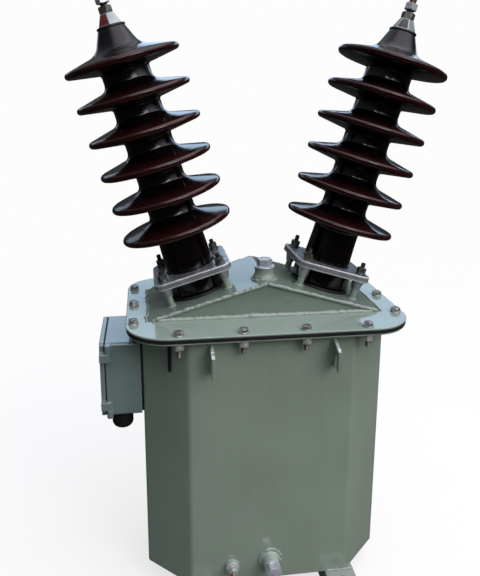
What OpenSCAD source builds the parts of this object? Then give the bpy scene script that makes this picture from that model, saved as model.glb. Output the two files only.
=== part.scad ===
// Oil-immersed voltage transformer: octagonal tank, gabled cover, two inclined porcelain bushings.
// Millimetres, Z up, origin on the floor under the middle of the tank, front towards minus Y.

/* [Base rails] */
// Width of each channel rail across its web
rail_w = 50; // [40:1:70]
// Height of each channel rail
rail_h = 37; // [25:1:60]
// Sheet thickness of the rail
rail_t = 5; // [4:0.5:8]
// Distance of each rail from the middle plane
rail_x = 121; // [80:1:135]
// Reach of each rail beyond the tank, front and rear
rail_reach = 42; // [32:1:80]
// Radius of the holding-down holes
foot_hole_r = 8; // [5:0.5:10]
// Distance of each holding-down hole from the end of its rail
foot_hole_in = 21; // [14:1:30]

/* [Tank] */
// Width of the tank over its side walls
tank_w = 404; // [360:1:480]
// Depth of the tank over its front and rear walls
tank_d = 275; // [250:1:330]
// Size of each corner chamfer along either wall
tank_chamfer = 70.5; // [50:0.5:80]
// Outside bend radius of the folded wall
bend_r = 12; // [8:1:20]
// Wall thickness
wall_t = 4; // [3:0.5:6]
// Thickness of the bottom plate
floor_t = 5; // [4:0.5:10]
// Height from the underside of the bottom plate to the top of the wall
wall_top = 435; // [385:1:520]
// Thickness of the flange on the wall
flange_t = 3; // [2:0.5:8]
// Setback of the flange edge from the cover edge
flange_in = 2; // [0.5:0.5:4]

/* [Cover] */
// Width of the cover plate
cover_w = 452; // [440:1:520]
// Depth of the cover plate
cover_d = 322; // [310:1:380]
// Corner radius of the cover plate
cover_r = 68; // [30:1:76]
// Thickness of the cover plate
cover_t = 3; // [2:0.5:8]
// Thickness of the rubber gasket under the cover
gasket_t = 6; // [3:0.5:10]
// Setback of the gasket edge from the cover edge
gasket_in = 0.5; // [0.5:0.5:4]
// Half width of the opening in the cover under the roof
throat_x = 160; // [120:1:165]
// Half depth of the opening in the cover under the roof
throat_y = 68; // [50:1:72]

/* [Roof] */
// Width of the roof between its feet
roof_w = 383; // [370:1:410]
// Rise of the ridge above the cover plate
roof_rise = 58; // [45:1:80]
// Depth of the roof from front to rear edge
roof_d = 169; // [160:1:200]
// Thickness of the roof sheet
roof_t = 5; // [4:0.5:7]
// Outside bend radius of the ridge
ridge_r = 22; // [12:1:26]
// Setback of each gable behind the roof edge
gable_in = 2; // [1:0.5:4]
// Thickness of the gable plates
gable_t = 5; // [4:0.5:7]

/* [Bushings] */
// Distance of each bushing foot from the ridge, level
bushing_x = 106; // [95:1:115]
// Radius of the shed rims
shed_r = 92; // [80:1:96]
// Spacing of the sheds along the bushing
shed_pitch = 54.6; // [50:0.2:60]
// Height of the lowest rim above the roof, along the bushing
shed_first = 116.3; // [108:0.1:130]
// Radius of the rounded rim
rim_r = 5.5; // [4:0.1:7]
// Fall of the upper face towards the rim, degrees
shed_fall = 13.8; // [8:0.1:16]
// Rise of the under face towards the rim, degrees
shed_under = 9; // [4:0.1:12]
// Radius of the stem between the sheds
stem_r = 38.5; // [34:0.1:39.5]
// Fillet between the stem and an upper shed face
shed_fillet = 12; // [8:0.5:12]
// Fillet between the stem and an under shed face
under_fillet = 4; // [2:0.5:5]
// Radius of the neck above the clamp
neck_r = 40; // [39.5:0.1:41]
// Radius of the clamped foot
foot_r = 50; // [48:0.1:51]
// Height of the shoulder of the foot above the roof
foot_top = 36; // [34.5:0.5:38]
// Radius of the porcelain at its top
head_r = 21.5; // [20:0.1:23]
// Height of the porcelain head above the top rim
head_rise = 51; // [46:1:60]
// Flare of the porcelain head, radius gained per millimetre of fall
head_flare = 0.44; // [0.3:0.01:0.5]
// Radius of the sweep from the head into the top shed
head_sweep = 26; // [16:1:30]
// Radius of the bore through the porcelain
bore_r = 14; // [10:0.5:18]
// Radius of the hole in the roof under each porcelain
roof_hole_r = 39.5; // [30:0.5:41]
// Thickness of the gasket under the porcelain
base_gasket_t = 4; // [2:0.5:6]
// Overhang of that gasket beyond the foot
base_gasket_out = 1.5; // [0.5:0.5:3]

/* [Clamps] */
// Half width of the square clamp flange
clamp_half = 64.5; // [62:0.5:68]
// Corner radius of the clamp flange
clamp_corner_r = 16.5; // [12:0.5:18]
// Thickness of the clamp flange
clamp_t = 11; // [9:0.5:13]
// Height of the clamp flange above the roof
clamp_z = 33; // [30:0.5:34]
// Thickness of the lip that bears on the packing
clamp_lip = 4.5; // [3:0.5:5]
// Thickness of the rubber packing ring on the shoulder
packing_t = 3.5; // [2:0.5:5]
// Upper radius of each boss under the clamp flange
boss_top_r = 11; // [9:0.5:13]
// Lower radius of each boss under the clamp flange
boss_low_r = 6.5; // [5.5:0.5:8]
// Height of the bosses
boss_h = 17; // [12:0.5:22]
// Radius of the posts welded to the roof
post_r = 5.5; // [4:0.5:6]

/* [Terminals] */
// Thickness of the gasket under each cap
cap_gasket_t = 3.5; // [2:0.5:5]
// Radius of the gasket under each cap
cap_gasket_r = 22.5; // [20:0.5:25]
// Distance across the flats at the bottom of each six-sided cap
cap_low_af = 36; // [32:0.5:40]
// Distance across the flats at the top of each six-sided cap
cap_top_af = 20; // [18:0.5:26]
// Height of each cap
cap_h = 18.5; // [15:0.5:26]
// Radius of the terminal stud
stud_r = 6; // [5:0.5:8]
// Distance across the flats of the terminal nuts
nut_af = 19; // [18:0.5:24]
// Height of the terminal nuts
nut_h = 10.8; // [8:0.1:13]
// Clear space between the two nuts of a terminal
nut_gap = 4; // [2:0.5:12]
// Length of stud showing above the upper nut
stud_out = 17; // [10:1:40]
// Length of stud inside the porcelain
stud_root = 40; // [20:1:60]
// Reduction of the stud radius above the upper nut
stud_step = 0.2; // [0.1:0.1:0.5]

/* [Filler] */
// Distance of the filler boss in front of the middle plane
filler_y = 50; // [30:1:60]
// Radius of the filler boss
filler_r = 15.5; // [14:0.5:18]
// Foot radius of the flared filler boss
filler_foot_r = 19; // [18.5:0.5:24]
// Height of the filler boss above the ridge line
filler_h = 15; // [12:1:30]
// Height of the flare above the ridge line
filler_flare_h = 6; // [4:1:8]
// Radius of the collar under the filler plug head
plug_collar_r = 17; // [15:0.5:18.5]
// Thickness of that collar
plug_collar_t = 3; // [2:0.5:5]
// Distance across the flats of the filler plug head
plug_af = 22; // [18:1:26]
// Height of the filler plug head
plug_h = 12; // [8:1:18]
// Radius of the filler hole
filler_bore_r = 9; // [6:0.5:11]

/* [Fittings on the front] */
// Distance of each lifting hook from the middle plane
hook_x = 97; // [60:1:110]
// Thickness of the hook plates
hook_t = 6; // [5:0.5:12]
// Reach of the hooks from the wall
hook_out = 32; // [30:1:50]
// Height of the hook feet above the underside of the bottom plate
hook_low = 381; // [330:1:385]
// Distance of the hook top below the wall top, at the wall
hook_drop = 9; // [4:1:14]
// Fall of the hook top from the wall to its outer corner
hook_fall = 11; // [4:1:14]
// Distance of the hook slot from the wall
slot_in = 13; // [10:0.5:15]
// Width of the hook slot
slot_w = 10; // [8:0.5:10]
// Height of the hook slot
slot_h = 24; // [16:1:26]
// Height of the drain axis above the underside of the bottom plate
drain_z = 36.5; // [30:0.5:80]
// Radius of the drain collar at the wall
drain_collar_r = 18; // [16:0.5:24]
// Length of the flared drain collar
drain_collar_l = 6; // [4:0.5:10]
// Radius of the drain stub
drain_r = 13; // [12:0.5:15]
// Length of the drain stub
drain_l = 22; // [16:1:60]
// Radius of the drain bore
drain_bore_r = 9; // [6:0.5:10]
// Distance across the flats of the drain plug
drain_plug_af = 22; // [18:1:24]
// Length of the drain plug head
drain_plug_l = 16; // [10:1:24]
// Distance of the earth boss left of the middle plane
earth_x = 64.5; // [40:0.5:100]
// Height of the earth boss above the underside of the bottom plate
earth_z = 29.5; // [20:0.5:60]
// Radius of the earth boss
earth_boss_r = 11; // [9:0.5:14]
// Length of the earth boss
earth_boss_l = 8; // [6:0.5:14]
// Radius of the earth stud
earth_stud_r = 4; // [3:0.5:6]
// Length of the earth stud beyond its boss
earth_stud_l = 24; // [16:1:40]

/* [Terminal box] */
// Thickness of the gasket between box and wall
box_gasket_t = 3; // [2:0.5:5]
// Width of the box from front to rear
box_w = 134; // [120:1:135]
// Height of the box
box_h = 126; // [110:1:150]
// Height of the box underside above the underside of the bottom plate
box_z = 280.5; // [240:0.5:290]
// Depth of the box from its back to its rim
box_l = 56; // [50:1:80]
// Wall thickness of the box
box_t = 4; // [3:0.5:5]
// Corner radius of the box and its lid
box_r = 5; // [4.5:0.5:8]
// Thickness of the lid
lid_t = 7; // [6:0.5:10]
// Depth of the hollow inside the lid
lid_hollow = 3.5; // [2:0.5:5]
// Thickness of the lid seal
seal_t = 1.8; // [1:0.1:3]
// Gap between the lid seal and the rim of the box
seal_gap = 0.4; // [0.3:0.1:1]
// Radius of the hinge knuckles
knuckle_r = 5; // [4:0.5:6]
// Clear space between a lid knuckle and the front of the box
knuckle_gap = 1; // [0.5:0.1:2]
// Setback of the hinge axis behind the rim of the box
hinge_in = 4.5; // [3:0.5:5]
// Height of each hinge knuckle
knuckle_h = 14; // [10:0.5:20]
// Radius of the hinge pins
pin_r = 2; // [1.5:0.1:2.5]
// Distance of the terminal board from either side of the box
board_in = 16; // [10:1:24]
// Height of the terminal board above the underside of the box
board_low = 36; // [20:1:42]
// Height of the terminal board
board_h = 60; // [50:1:66]
// Thickness of the terminal board in the box
board_t = 6; // [4:0.5:10]
// Distance between the two rows of terminals on the board
secondary_rise = 30; // [20:1:36]
// Distance between the terminals in a row
secondary_pitch = 24; // [18:1:28]
// Radius of the terminals on the board
secondary_r = 3; // [2:0.5:4]
// Length of the terminals on the board
secondary_l = 22; // [14:1:30]
// Distance of the cable gland from the back of the box
gland_in = 33.6; // [28:0.1:34]
// Distance of the cable gland in front of the middle plane
gland_y = 26; // [0:1:40]
// Radius of the cable gland
gland_r = 18; // [17:0.5:20]
// Length of the cable gland below the box
gland_l = 40; // [30:1:60]
// Radius of the rounded lower edge of the cable gland
gland_dome_r = 11; // [6:0.5:11.5]
// Radius of the cable hole
gland_bore_r = 6; // [4:0.5:6.5]

/* [Hidden] */
$fn = 96;
eps = 0.5;
// clearance of a bore on the pin inside it
fit = 0.2;
// running clearance of a knuckle on its hinge pin
pin_fit = 0.08;
// clearance between stacked hinge knuckles
knuckle_split = 0.4;
// clearance between the side of a porcelain foot and its clamp
clamp_clear = 1.5;
packing_clear = 0.3;
six = 6;
hex_turn = 30;

front_y = tank_d / 2;
side_x = tank_w / 2;
tank_z = rail_h;
wall_z = tank_z + floor_t;
flange_z = tank_z + wall_top;
gasket_z = flange_z + flange_t;
cover_z = gasket_z + gasket_t;
cover_top = cover_z + cover_t;
roof_half = roof_w / 2;
slope = atan(roof_rise / roof_half);
ridge_cz = roof_rise - ridge_r / cos(slope);
rail_len = tank_d + 2 * rail_reach;
foot_hole_y = rail_len / 2 - foot_hole_in;
bushing_z = cover_top + roof_rise * (1 - bushing_x / roof_half);
shed_count = 6;
shed_last = shed_first + (shed_count - 1) * shed_pitch;
head_z = shed_last + head_rise;
rim_x = shed_r - rim_r;
rim_steps = 6;
fillet_steps = 3;
// outward normals of the upper and under shed faces, and centres of the arcs that lead into them
fall = [sin(shed_fall), cos(shed_fall)];
under = [sin(shed_under), -cos(shed_under)];
flare = unit([1, head_flare]);
fall_c = line_meet([rim_x, 0] + fall * rim_r, fall, [stem_r, 0], [1, 0], shed_fillet);
under_c = line_meet([rim_x, 0] + under * rim_r, under, [stem_r, 0], [1, 0], under_fillet);
sweep_c = line_meet([rim_x, shed_last] + fall * rim_r, fall, [head_r, head_z], flare, head_sweep);
cap_z = head_z + cap_gasket_t;
cap_top = cap_z + cap_h;
nut_z = cap_top + nut_h + nut_gap;
stud_end = nut_z + nut_h + stud_out;
stud_low = head_z - stud_root;
stud_at = clamp_half - clamp_corner_r;
packing_top = foot_top + packing_t;
ridge_top = cover_top + roof_rise;
rim_plane = -side_x - box_gasket_t - box_l;
seal_plane = rim_plane - seal_gap;
lid_plane = seal_plane - seal_t;
lid_face = lid_plane - lid_t;
box_low = tank_z + box_z;
hinge_x = rim_plane + hinge_in;
hinge_y = -box_w / 2 - knuckle_r - knuckle_gap;
gland_x = -side_x - box_gasket_t - gland_in;
// height of each knuckle on the box, then on the lid
box_knuckle_z = [box_low, box_low + box_h - knuckle_h];
lid_knuckle_z = [box_low + knuckle_h + knuckle_split, box_low + box_h - 2 * knuckle_h - knuckle_split];
pin_z = [box_low, box_low + box_h - 2 * knuckle_h - knuckle_split];
pin_l = 2 * knuckle_h + knuckle_split;

function unit(v) = v / norm(v);
function half_angle(a, b, c) = acos(unit(a - b) * unit(c - b)) / 2;
function tangent(a, b, c, r) = b + unit(a - b) * r / tan(half_angle(a, b, c));
function arc_centre(a, b, c, r) = b + unit(unit(a - b) + unit(c - b)) * r / sin(half_angle(a, b, c));
function at(p, i) = p[(i + len(p)) % len(p)];
// meeting point of two lines given as point and normal, both moved out along their normals
function line_meet(p, n, q, m, r) =
    let (a = p * n + r, b = q * m + r, d = n[0] * m[1] - n[1] * m[0])
    [(a * m[1] - b * n[1]) / d, (n[0] * b - m[0] * a) / d];

// points of an arc about c from one angle to another
function arc(c, r, from, to, steps) =
    [for (i = [0 : steps]) let (a = from + (to - from) * i / steps) c + r * [cos(a), sin(a)]];

module rounded_outline(p, r) {
    n = len(p) - 1;
    polygon([
        for (i = [0 : n])
            for (k = [0, 1])
                k == 0
                    ? tangent(at(p, i - 1), p[i], at(p, i + 1), r)
                    : tangent(at(p, i + 1), p[i], at(p, i - 1), r)
    ]);
    for (i = [0 : n]) {
        translate(arc_centre(at(p, i - 1), p[i], at(p, i + 1), r))
            circle(r);
    }
}

module rounded_rect(w, d, r) {
    rounded_outline([[-w / 2, -d / 2], [w / 2, -d / 2], [w / 2, d / 2], [-w / 2, d / 2]], r);
}

// octagon of the tank, drawn in from its outside face
module tank_outline(inset) {
    x = side_x - inset;
    y = front_y - inset;
    c = tank_chamfer - inset * (2 - sqrt(2));
    rounded_outline([
        [-x + c, -y],
        [x - c, -y],
        [x, -y + c],
        [x, y - c],
        [x - c, y],
        [-x + c, y],
        [-x, y - c],
        [-x, -y + c]
    ], bend_r - inset);
}

module hex_prism(af, h) {
    cylinder(r = af / 2 / cos(hex_turn), h = h, $fn = six);
}

// roof section above the cover plate: depth is measured in from the outer face
module roof_section(depth) {
    foot = roof_half - depth / sin(slope);
    r = ridge_r - depth;
    polygon([
        [-foot, 0],
        [foot, 0],
        [r * sin(slope), ridge_cz + r * cos(slope)],
        [-r * sin(slope), ridge_cz + r * cos(slope)]
    ]);
    translate([0, ridge_cz])
        circle(r);
}

module along_y(y, l) {
    translate([0, y + l, cover_top])
        rotate([90, 0, 0])
            linear_extrude(l)
                children();
}

module on_roof(side) {
    translate([side * bushing_x, 0, bushing_z])
        rotate([0, side * slope, 0])
            children();
}

module at_studs() {
    for (x = [-stud_at, stud_at]) {
        for (y = [-stud_at, stud_at]) {
            translate([x, y, 0])
                children();
        }
    }
}

module base_rails() {
    color("darkslategray")
        for (s = [-1, 1]) {
            difference() {
                translate([s * rail_x - rail_w / 2, -rail_len / 2, 0])
                    cube([rail_w, rail_len, rail_h]);
                translate([s * rail_x - rail_w / 2 + rail_t, -rail_len / 2 - eps, -eps])
                    cube([rail_w - 2 * rail_t, rail_len + 2 * eps, rail_h - rail_t + eps]);
                for (y = [-foot_hole_y, foot_hole_y]) {
                    translate([s * rail_x, y, rail_h / 2])
                        cylinder(r = foot_hole_r, h = rail_h);
                }
            }
        }
}

module tank_floor() {
    color("slategray")
        translate([0, 0, tank_z])
            linear_extrude(floor_t)
                tank_outline(0);
}

module tank_wall() {
    color("slategray")
        difference() {
            translate([0, 0, wall_z])
                linear_extrude(flange_z - wall_z)
                    difference() {
                        tank_outline(0);
                        tank_outline(wall_t);
                    }
            translate([0, wall_t - front_y + eps, tank_z + drain_z])
                rotate([90, 0, 0])
                    cylinder(r = drain_bore_r, h = wall_t + 2 * eps);
        }
}

module rim_plate(z, t, inset) {
    translate([0, 0, z])
        linear_extrude(t)
            difference() {
                rounded_rect(cover_w - 2 * inset, cover_d - 2 * inset, cover_r - inset);
                tank_outline(wall_t);
            }
}

module tank_flange() {
    color("slategray")
        rim_plate(flange_z, flange_t, flange_in);
}

module cover_gasket() {
    color("black")
        rim_plate(gasket_z, gasket_t, gasket_in);
}

module cover_plate() {
    color("slategray")
        translate([0, 0, cover_z])
            linear_extrude(cover_t)
                difference() {
                    rounded_rect(cover_w, cover_d, cover_r);
                    square([2 * throat_x, 2 * throat_y], center = true);
                }
}

module roof_sheet() {
    color("slategray")
        difference() {
            along_y(-roof_d / 2, roof_d)
                difference() {
                    roof_section(0);
                    roof_section(roof_t);
                }
            for (s = [-1, 1]) {
                on_roof(s)
                    translate([0, 0, -roof_t - eps])
                        cylinder(r = roof_hole_r, h = roof_t + 2 * eps);
            }
            translate([0, -filler_y, cover_top])
                cylinder(r = filler_bore_r, h = roof_rise + eps);
        }
}

module roof_gables() {
    color("slategray") {
        along_y(-roof_d / 2 + gable_in, gable_t)
            roof_section(roof_t);
        along_y(roof_d / 2 - gable_in - gable_t, gable_t)
            roof_section(roof_t);
    }
}

module filler_boss() {
    color("slategray")
        difference() {
            translate([0, -filler_y, cover_top]) {
                cylinder(r = filler_foot_r, h = roof_rise);
                translate([0, 0, roof_rise])
                    cylinder(r1 = filler_foot_r, r2 = filler_r, h = filler_flare_h);
                cylinder(r = filler_r, h = roof_rise + filler_h);
            }
            along_y(-roof_d / 2, roof_d)
                roof_section(0);
            translate([0, -filler_y, cover_top])
                cylinder(r = filler_bore_r, h = roof_rise + filler_h + eps);
        }
}

module filler_plug() {
    color("silver")
        translate([0, -filler_y, ridge_top + filler_h]) {
            cylinder(r = plug_collar_r, h = plug_collar_t);
            hex_prism(plug_af, plug_collar_t + plug_h);
            translate([0, 0, -filler_h])
                cylinder(r = filler_bore_r - fit, h = filler_h + plug_collar_t);
        }
}

// edge of one shed at height z: under fillet, rim, and the upper fillet of all but the top shed
function shed_edge(z, filleted) =
    concat(
        arc(under_c + [0, z], under_fillet, 180, 90 + shed_under, fillet_steps),
        arc([rim_x, z], rim_r, shed_under - 90, 90 - shed_fall, rim_steps),
        filleted ? arc(fall_c + [0, z], shed_fillet, 270 - shed_fall, 180, fillet_steps) : []
    );

module porcelain() {
    rotate_extrude()
        polygon(concat(
            [
                [bore_r, base_gasket_t],
                [foot_r - under_fillet, base_gasket_t],
                [foot_r, base_gasket_t + under_fillet],
                [foot_r, foot_top],
                [neck_r, foot_top],
                [neck_r, packing_top + clamp_lip],
                [stem_r, shed_first - shed_pitch / 2]
            ],
            [for (i = [1 : shed_count]) each shed_edge(shed_first + (i - 1) * shed_pitch, i < shed_count)],
            arc(sweep_c, head_sweep, 270 - shed_fall, 180 + atan(head_flare), rim_steps),
            [[head_r, head_z], [bore_r, head_z]]
        ));
}

module ring(r_in, r_out, z, h) {
    translate([0, 0, z])
        difference() {
            cylinder(r = r_out, h = h);
            translate([0, 0, -eps])
                cylinder(r = r_in, h = h + 2 * eps);
        }
}

module clamp_flange() {
    difference() {
        union() {
            translate([0, 0, clamp_z])
                linear_extrude(clamp_t)
                    rounded_rect(2 * clamp_half, 2 * clamp_half, clamp_corner_r);
            at_studs()
                translate([0, 0, clamp_z - boss_h])
                    cylinder(r1 = boss_low_r, r2 = boss_top_r, h = boss_h);
        }
        translate([0, 0, clamp_z - boss_h - eps])
            cylinder(r = foot_r + clamp_clear, h = packing_top - clamp_z + boss_h + eps);
        translate([0, 0, clamp_z])
            cylinder(r = neck_r + clamp_clear, h = clamp_t + eps);
    }
}

module clamp_posts() {
    at_studs()
        cylinder(r = post_r, h = clamp_z - boss_h);
}

// six-sided cap: a prism with its sides cut back to a taper
module terminal_cap() {
    lean = atan((cap_low_af - cap_top_af) / 2 / cap_h);
    difference() {
        translate([0, 0, cap_z])
            rotate([0, 0, hex_turn])
                hex_prism(cap_low_af, cap_h);
        for (i = [0 : six - 1]) {
            rotate([0, 0, i * 2 * hex_turn])
                translate([cap_low_af / 2, 0, cap_z])
                    rotate([0, -lean, 0])
                        translate([0, -cap_low_af, 0])
                            cube([cap_low_af, 2 * cap_low_af, 2 * cap_h]);
        }
        translate([0, 0, cap_z - eps])
            cylinder(r = stud_r + fit, h = cap_h + 2 * eps);
    }
}

module terminal_nuts() {
    for (z = [cap_top, nut_z]) {
        translate([0, 0, z])
            difference() {
                hex_prism(nut_af, nut_h);
                translate([0, 0, -eps])
                    cylinder(r = stud_r + fit, h = nut_h + 2 * eps);
            }
    }
}

module terminal_stud() {
    translate([0, 0, stud_low])
        cylinder(r = stud_r, h = nut_z + nut_h - stud_low);
    translate([0, 0, stud_low])
        cylinder(r = stud_r - stud_step, h = stud_end - stud_low);
}

module left_base_gasket() {
    color("black")
        on_roof(-1)
            ring(roof_hole_r, foot_r + base_gasket_out, 0, base_gasket_t);
}

module right_base_gasket() {
    color("black")
        on_roof(1)
            ring(roof_hole_r, foot_r + base_gasket_out, 0, base_gasket_t);
}

module left_porcelain() {
    color("saddlebrown")
        on_roof(-1)
            porcelain();
}

module right_porcelain() {
    color("saddlebrown")
        on_roof(1)
            porcelain();
}

module left_packing_ring() {
    color("black")
        on_roof(-1)
            ring(neck_r + packing_clear, foot_r + clamp_clear - packing_clear, foot_top, packing_t);
}

module right_packing_ring() {
    color("black")
        on_roof(1)
            ring(neck_r + packing_clear, foot_r + clamp_clear - packing_clear, foot_top, packing_t);
}

module left_clamp_flange() {
    color("silver")
        on_roof(-1)
            clamp_flange();
}

module right_clamp_flange() {
    color("silver")
        on_roof(1)
            clamp_flange();
}

module left_clamp_posts() {
    color("slategray")
        on_roof(-1)
            clamp_posts();
}

module right_clamp_posts() {
    color("slategray")
        on_roof(1)
            clamp_posts();
}

module left_cap_gasket() {
    color("black")
        on_roof(-1)
            ring(stud_r + fit, cap_gasket_r, head_z, cap_gasket_t);
}

module right_cap_gasket() {
    color("black")
        on_roof(1)
            ring(stud_r + fit, cap_gasket_r, head_z, cap_gasket_t);
}

module left_terminal_cap() {
    color("lightgray")
        on_roof(-1)
            terminal_cap();
}

module right_terminal_cap() {
    color("lightgray")
        on_roof(1)
            terminal_cap();
}

module left_terminal_stud() {
    color("goldenrod")
        on_roof(-1)
            terminal_stud();
}

module right_terminal_stud() {
    color("goldenrod")
        on_roof(1)
            terminal_stud();
}

module left_terminal_nuts() {
    color("gray")
        on_roof(-1)
            terminal_nuts();
}

module right_terminal_nuts() {
    color("gray")
        on_roof(1)
            terminal_nuts();
}

module hook_section() {
    top = wall_top - hook_drop;
    slot_top = hook_low + slot_h - slot_w / 2;
    difference() {
        polygon([
            [0, hook_low],
            [hook_out, hook_low],
            [hook_out, top - hook_fall],
            [0, top]
        ]);
        translate([slot_in, hook_low - eps])
            square([slot_w, slot_top - hook_low + eps]);
        translate([slot_in + slot_w / 2, slot_top])
            circle(slot_w / 2);
    }
}

module lifting_hooks() {
    color("slategray")
        for (x = [-hook_x, hook_x]) {
            for (turn = [-90, 90]) {
                translate([x, 0, tank_z])
                    rotate([0, 0, turn])
                        translate([front_y, hook_t / 2, 0])
                            rotate([90, 0, 0])
                                linear_extrude(hook_t)
                                    hook_section();
            }
        }
}

module from_front(x, z) {
    translate([x, -front_y, tank_z + z])
        rotate([90, 0, 0])
            children();
}

module drain_stub() {
    color("slategray")
        from_front(0, drain_z)
            difference() {
                union() {
                    cylinder(r1 = drain_collar_r, r2 = drain_r, h = drain_collar_l);
                    cylinder(r = drain_r, h = drain_l);
                }
                translate([0, 0, -eps])
                    cylinder(r = drain_bore_r, h = drain_l + 2 * eps);
            }
}

module drain_plug() {
    color("silver")
        from_front(0, drain_z) {
            translate([0, 0, drain_l])
                hex_prism(drain_plug_af, drain_plug_l);
            cylinder(r = drain_bore_r - fit, h = drain_l + eps);
        }
}

module earth_boss() {
    color("slategray")
        from_front(-earth_x, earth_z)
            ring(earth_stud_r + 2 * fit, earth_boss_r, 0, earth_boss_l);
}

module earth_stud() {
    color("peru")
        from_front(-earth_x, earth_z) {
            cylinder(r = earth_stud_r + fit, h = earth_boss_l);
            cylinder(r = earth_stud_r, h = earth_boss_l + earth_stud_l);
        }
}

// upright outline of the box, drawn in from its outside, swept along X from one plane to another
module box_block(x_from, x_to, inset) {
    translate([x_from, 0, box_low + box_h / 2])
        rotate([90, 0, 90])
            linear_extrude(x_to - x_from)
                rounded_rect(box_w - 2 * inset, box_h - 2 * inset, box_r - inset);
}

module box_gasket() {
    color("black")
        box_block(-side_x - box_gasket_t, -side_x, box_t);
}

module knuckle(z, bore) {
    translate([hinge_x, hinge_y, z])
        difference() {
            children();
            translate([0, 0, -eps])
                cylinder(r = bore, h = knuckle_h + 2 * eps);
        }
}

module terminal_box() {
    back = -side_x - box_gasket_t;
    color("lightslategray") {
        difference() {
            box_block(rim_plane, back, 0);
            box_block(rim_plane - eps, back - box_t, box_t);
            translate([gland_x, -gland_y, box_low - eps])
                cylinder(r = gland_bore_r + eps, h = box_t + 2 * eps);
        }
        for (z = box_knuckle_z) {
            knuckle(z, pin_r + pin_fit) {
                cylinder(r = knuckle_r, h = knuckle_h);
                translate([-hinge_in + eps, 0, 0])
                    cube([knuckle_r + hinge_in - eps, knuckle_r + knuckle_gap + box_t / 2, knuckle_h]);
            }
        }
    }
}

module hinge_pins() {
    color("silver")
        for (z = pin_z) {
            translate([hinge_x, hinge_y, z])
                cylinder(r = pin_r, h = pin_l);
        }
}

module terminal_board() {
    back = -side_x - box_gasket_t - box_t;
    color("sienna")
        translate([back - board_t, -box_w / 2 + board_in, box_low + board_low])
            cube([board_t, box_w - 2 * board_in, board_h]);
}

module secondary_studs() {
    back = -side_x - box_gasket_t - box_t - board_t;
    color("goldenrod")
        for (i = [-1, 0, 1]) {
            for (k = [-1, 1]) {
                translate([back, i * secondary_pitch, box_low + board_low + (board_h + k * secondary_rise) / 2])
                    rotate([0, -90, 0])
                        cylinder(r = secondary_r, h = secondary_l);
            }
        }
}

module cable_gland() {
    color("black")
        translate([gland_x, -gland_y, box_low - gland_l])
            rotate_extrude()
                polygon(concat(
                    [[gland_bore_r, 0]],
                    arc([gland_r - gland_dome_r, gland_dome_r], gland_dome_r, -90, 0, fillet_steps),
                    [[gland_r, gland_l], [gland_bore_r, gland_l]]
                ));
}

module box_lid() {
    arm = hinge_x - lid_face;
    color("lightslategray") {
        difference() {
            box_block(lid_face, lid_plane, 0);
            box_block(lid_plane - lid_hollow, lid_plane + eps, box_t);
        }
        for (z = lid_knuckle_z) {
            knuckle(z, pin_r + pin_fit) {
                cylinder(r = knuckle_r, h = knuckle_h);
                translate([-arm, -knuckle_r, 0])
                    cube([arm, 2 * knuckle_r, knuckle_h]);
                translate([-arm, -knuckle_r, 0])
                    cube([lid_t, 2 * knuckle_r + knuckle_gap + box_r, knuckle_h]);
            }
        }
    }
}

module lid_seal() {
    color("black")
        difference() {
            box_block(lid_plane, seal_plane, eps);
            box_block(lid_plane - eps, seal_plane + eps, box_t - eps);
        }
}

base_rails();
tank_floor();
tank_wall();
tank_flange();
cover_gasket();
cover_plate();
roof_sheet();
roof_gables();
filler_boss();
filler_plug();
left_base_gasket();
right_base_gasket();
left_porcelain();
right_porcelain();
left_packing_ring();
right_packing_ring();
left_clamp_flange();
right_clamp_flange();
left_clamp_posts();
right_clamp_posts();
left_cap_gasket();
right_cap_gasket();
left_terminal_cap();
right_terminal_cap();
left_terminal_stud();
right_terminal_stud();
left_terminal_nuts();
right_terminal_nuts();
lifting_hooks();
drain_stub();
drain_plug();
earth_boss();
earth_stud();
box_gasket();
terminal_box();
hinge_pins();
terminal_board();
secondary_studs();
cable_gland();
box_lid();
lid_seal();
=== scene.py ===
"""Looks of an oil-immersed voltage transformer: enamelled tank, glazed bushings, fastenings and welds."""

import math
import random

import bmesh
import bpy
from mathutils import Matrix, Vector, noise


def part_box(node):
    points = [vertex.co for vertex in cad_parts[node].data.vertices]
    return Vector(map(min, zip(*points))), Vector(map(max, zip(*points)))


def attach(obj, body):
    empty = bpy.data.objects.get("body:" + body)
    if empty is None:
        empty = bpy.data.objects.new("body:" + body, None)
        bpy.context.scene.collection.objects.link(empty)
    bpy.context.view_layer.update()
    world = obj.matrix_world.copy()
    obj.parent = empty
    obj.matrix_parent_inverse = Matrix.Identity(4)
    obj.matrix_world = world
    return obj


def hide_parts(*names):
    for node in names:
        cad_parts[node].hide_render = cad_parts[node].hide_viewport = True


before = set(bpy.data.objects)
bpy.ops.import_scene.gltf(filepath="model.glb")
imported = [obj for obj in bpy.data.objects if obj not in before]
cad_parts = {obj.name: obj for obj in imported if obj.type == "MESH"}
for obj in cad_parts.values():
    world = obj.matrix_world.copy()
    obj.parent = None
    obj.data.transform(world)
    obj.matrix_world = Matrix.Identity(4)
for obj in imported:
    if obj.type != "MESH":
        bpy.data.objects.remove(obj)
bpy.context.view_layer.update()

MM = 0.001
TURN = 2 * math.pi
TRANSFORMER = "transformer"
LID = "lid"

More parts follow.
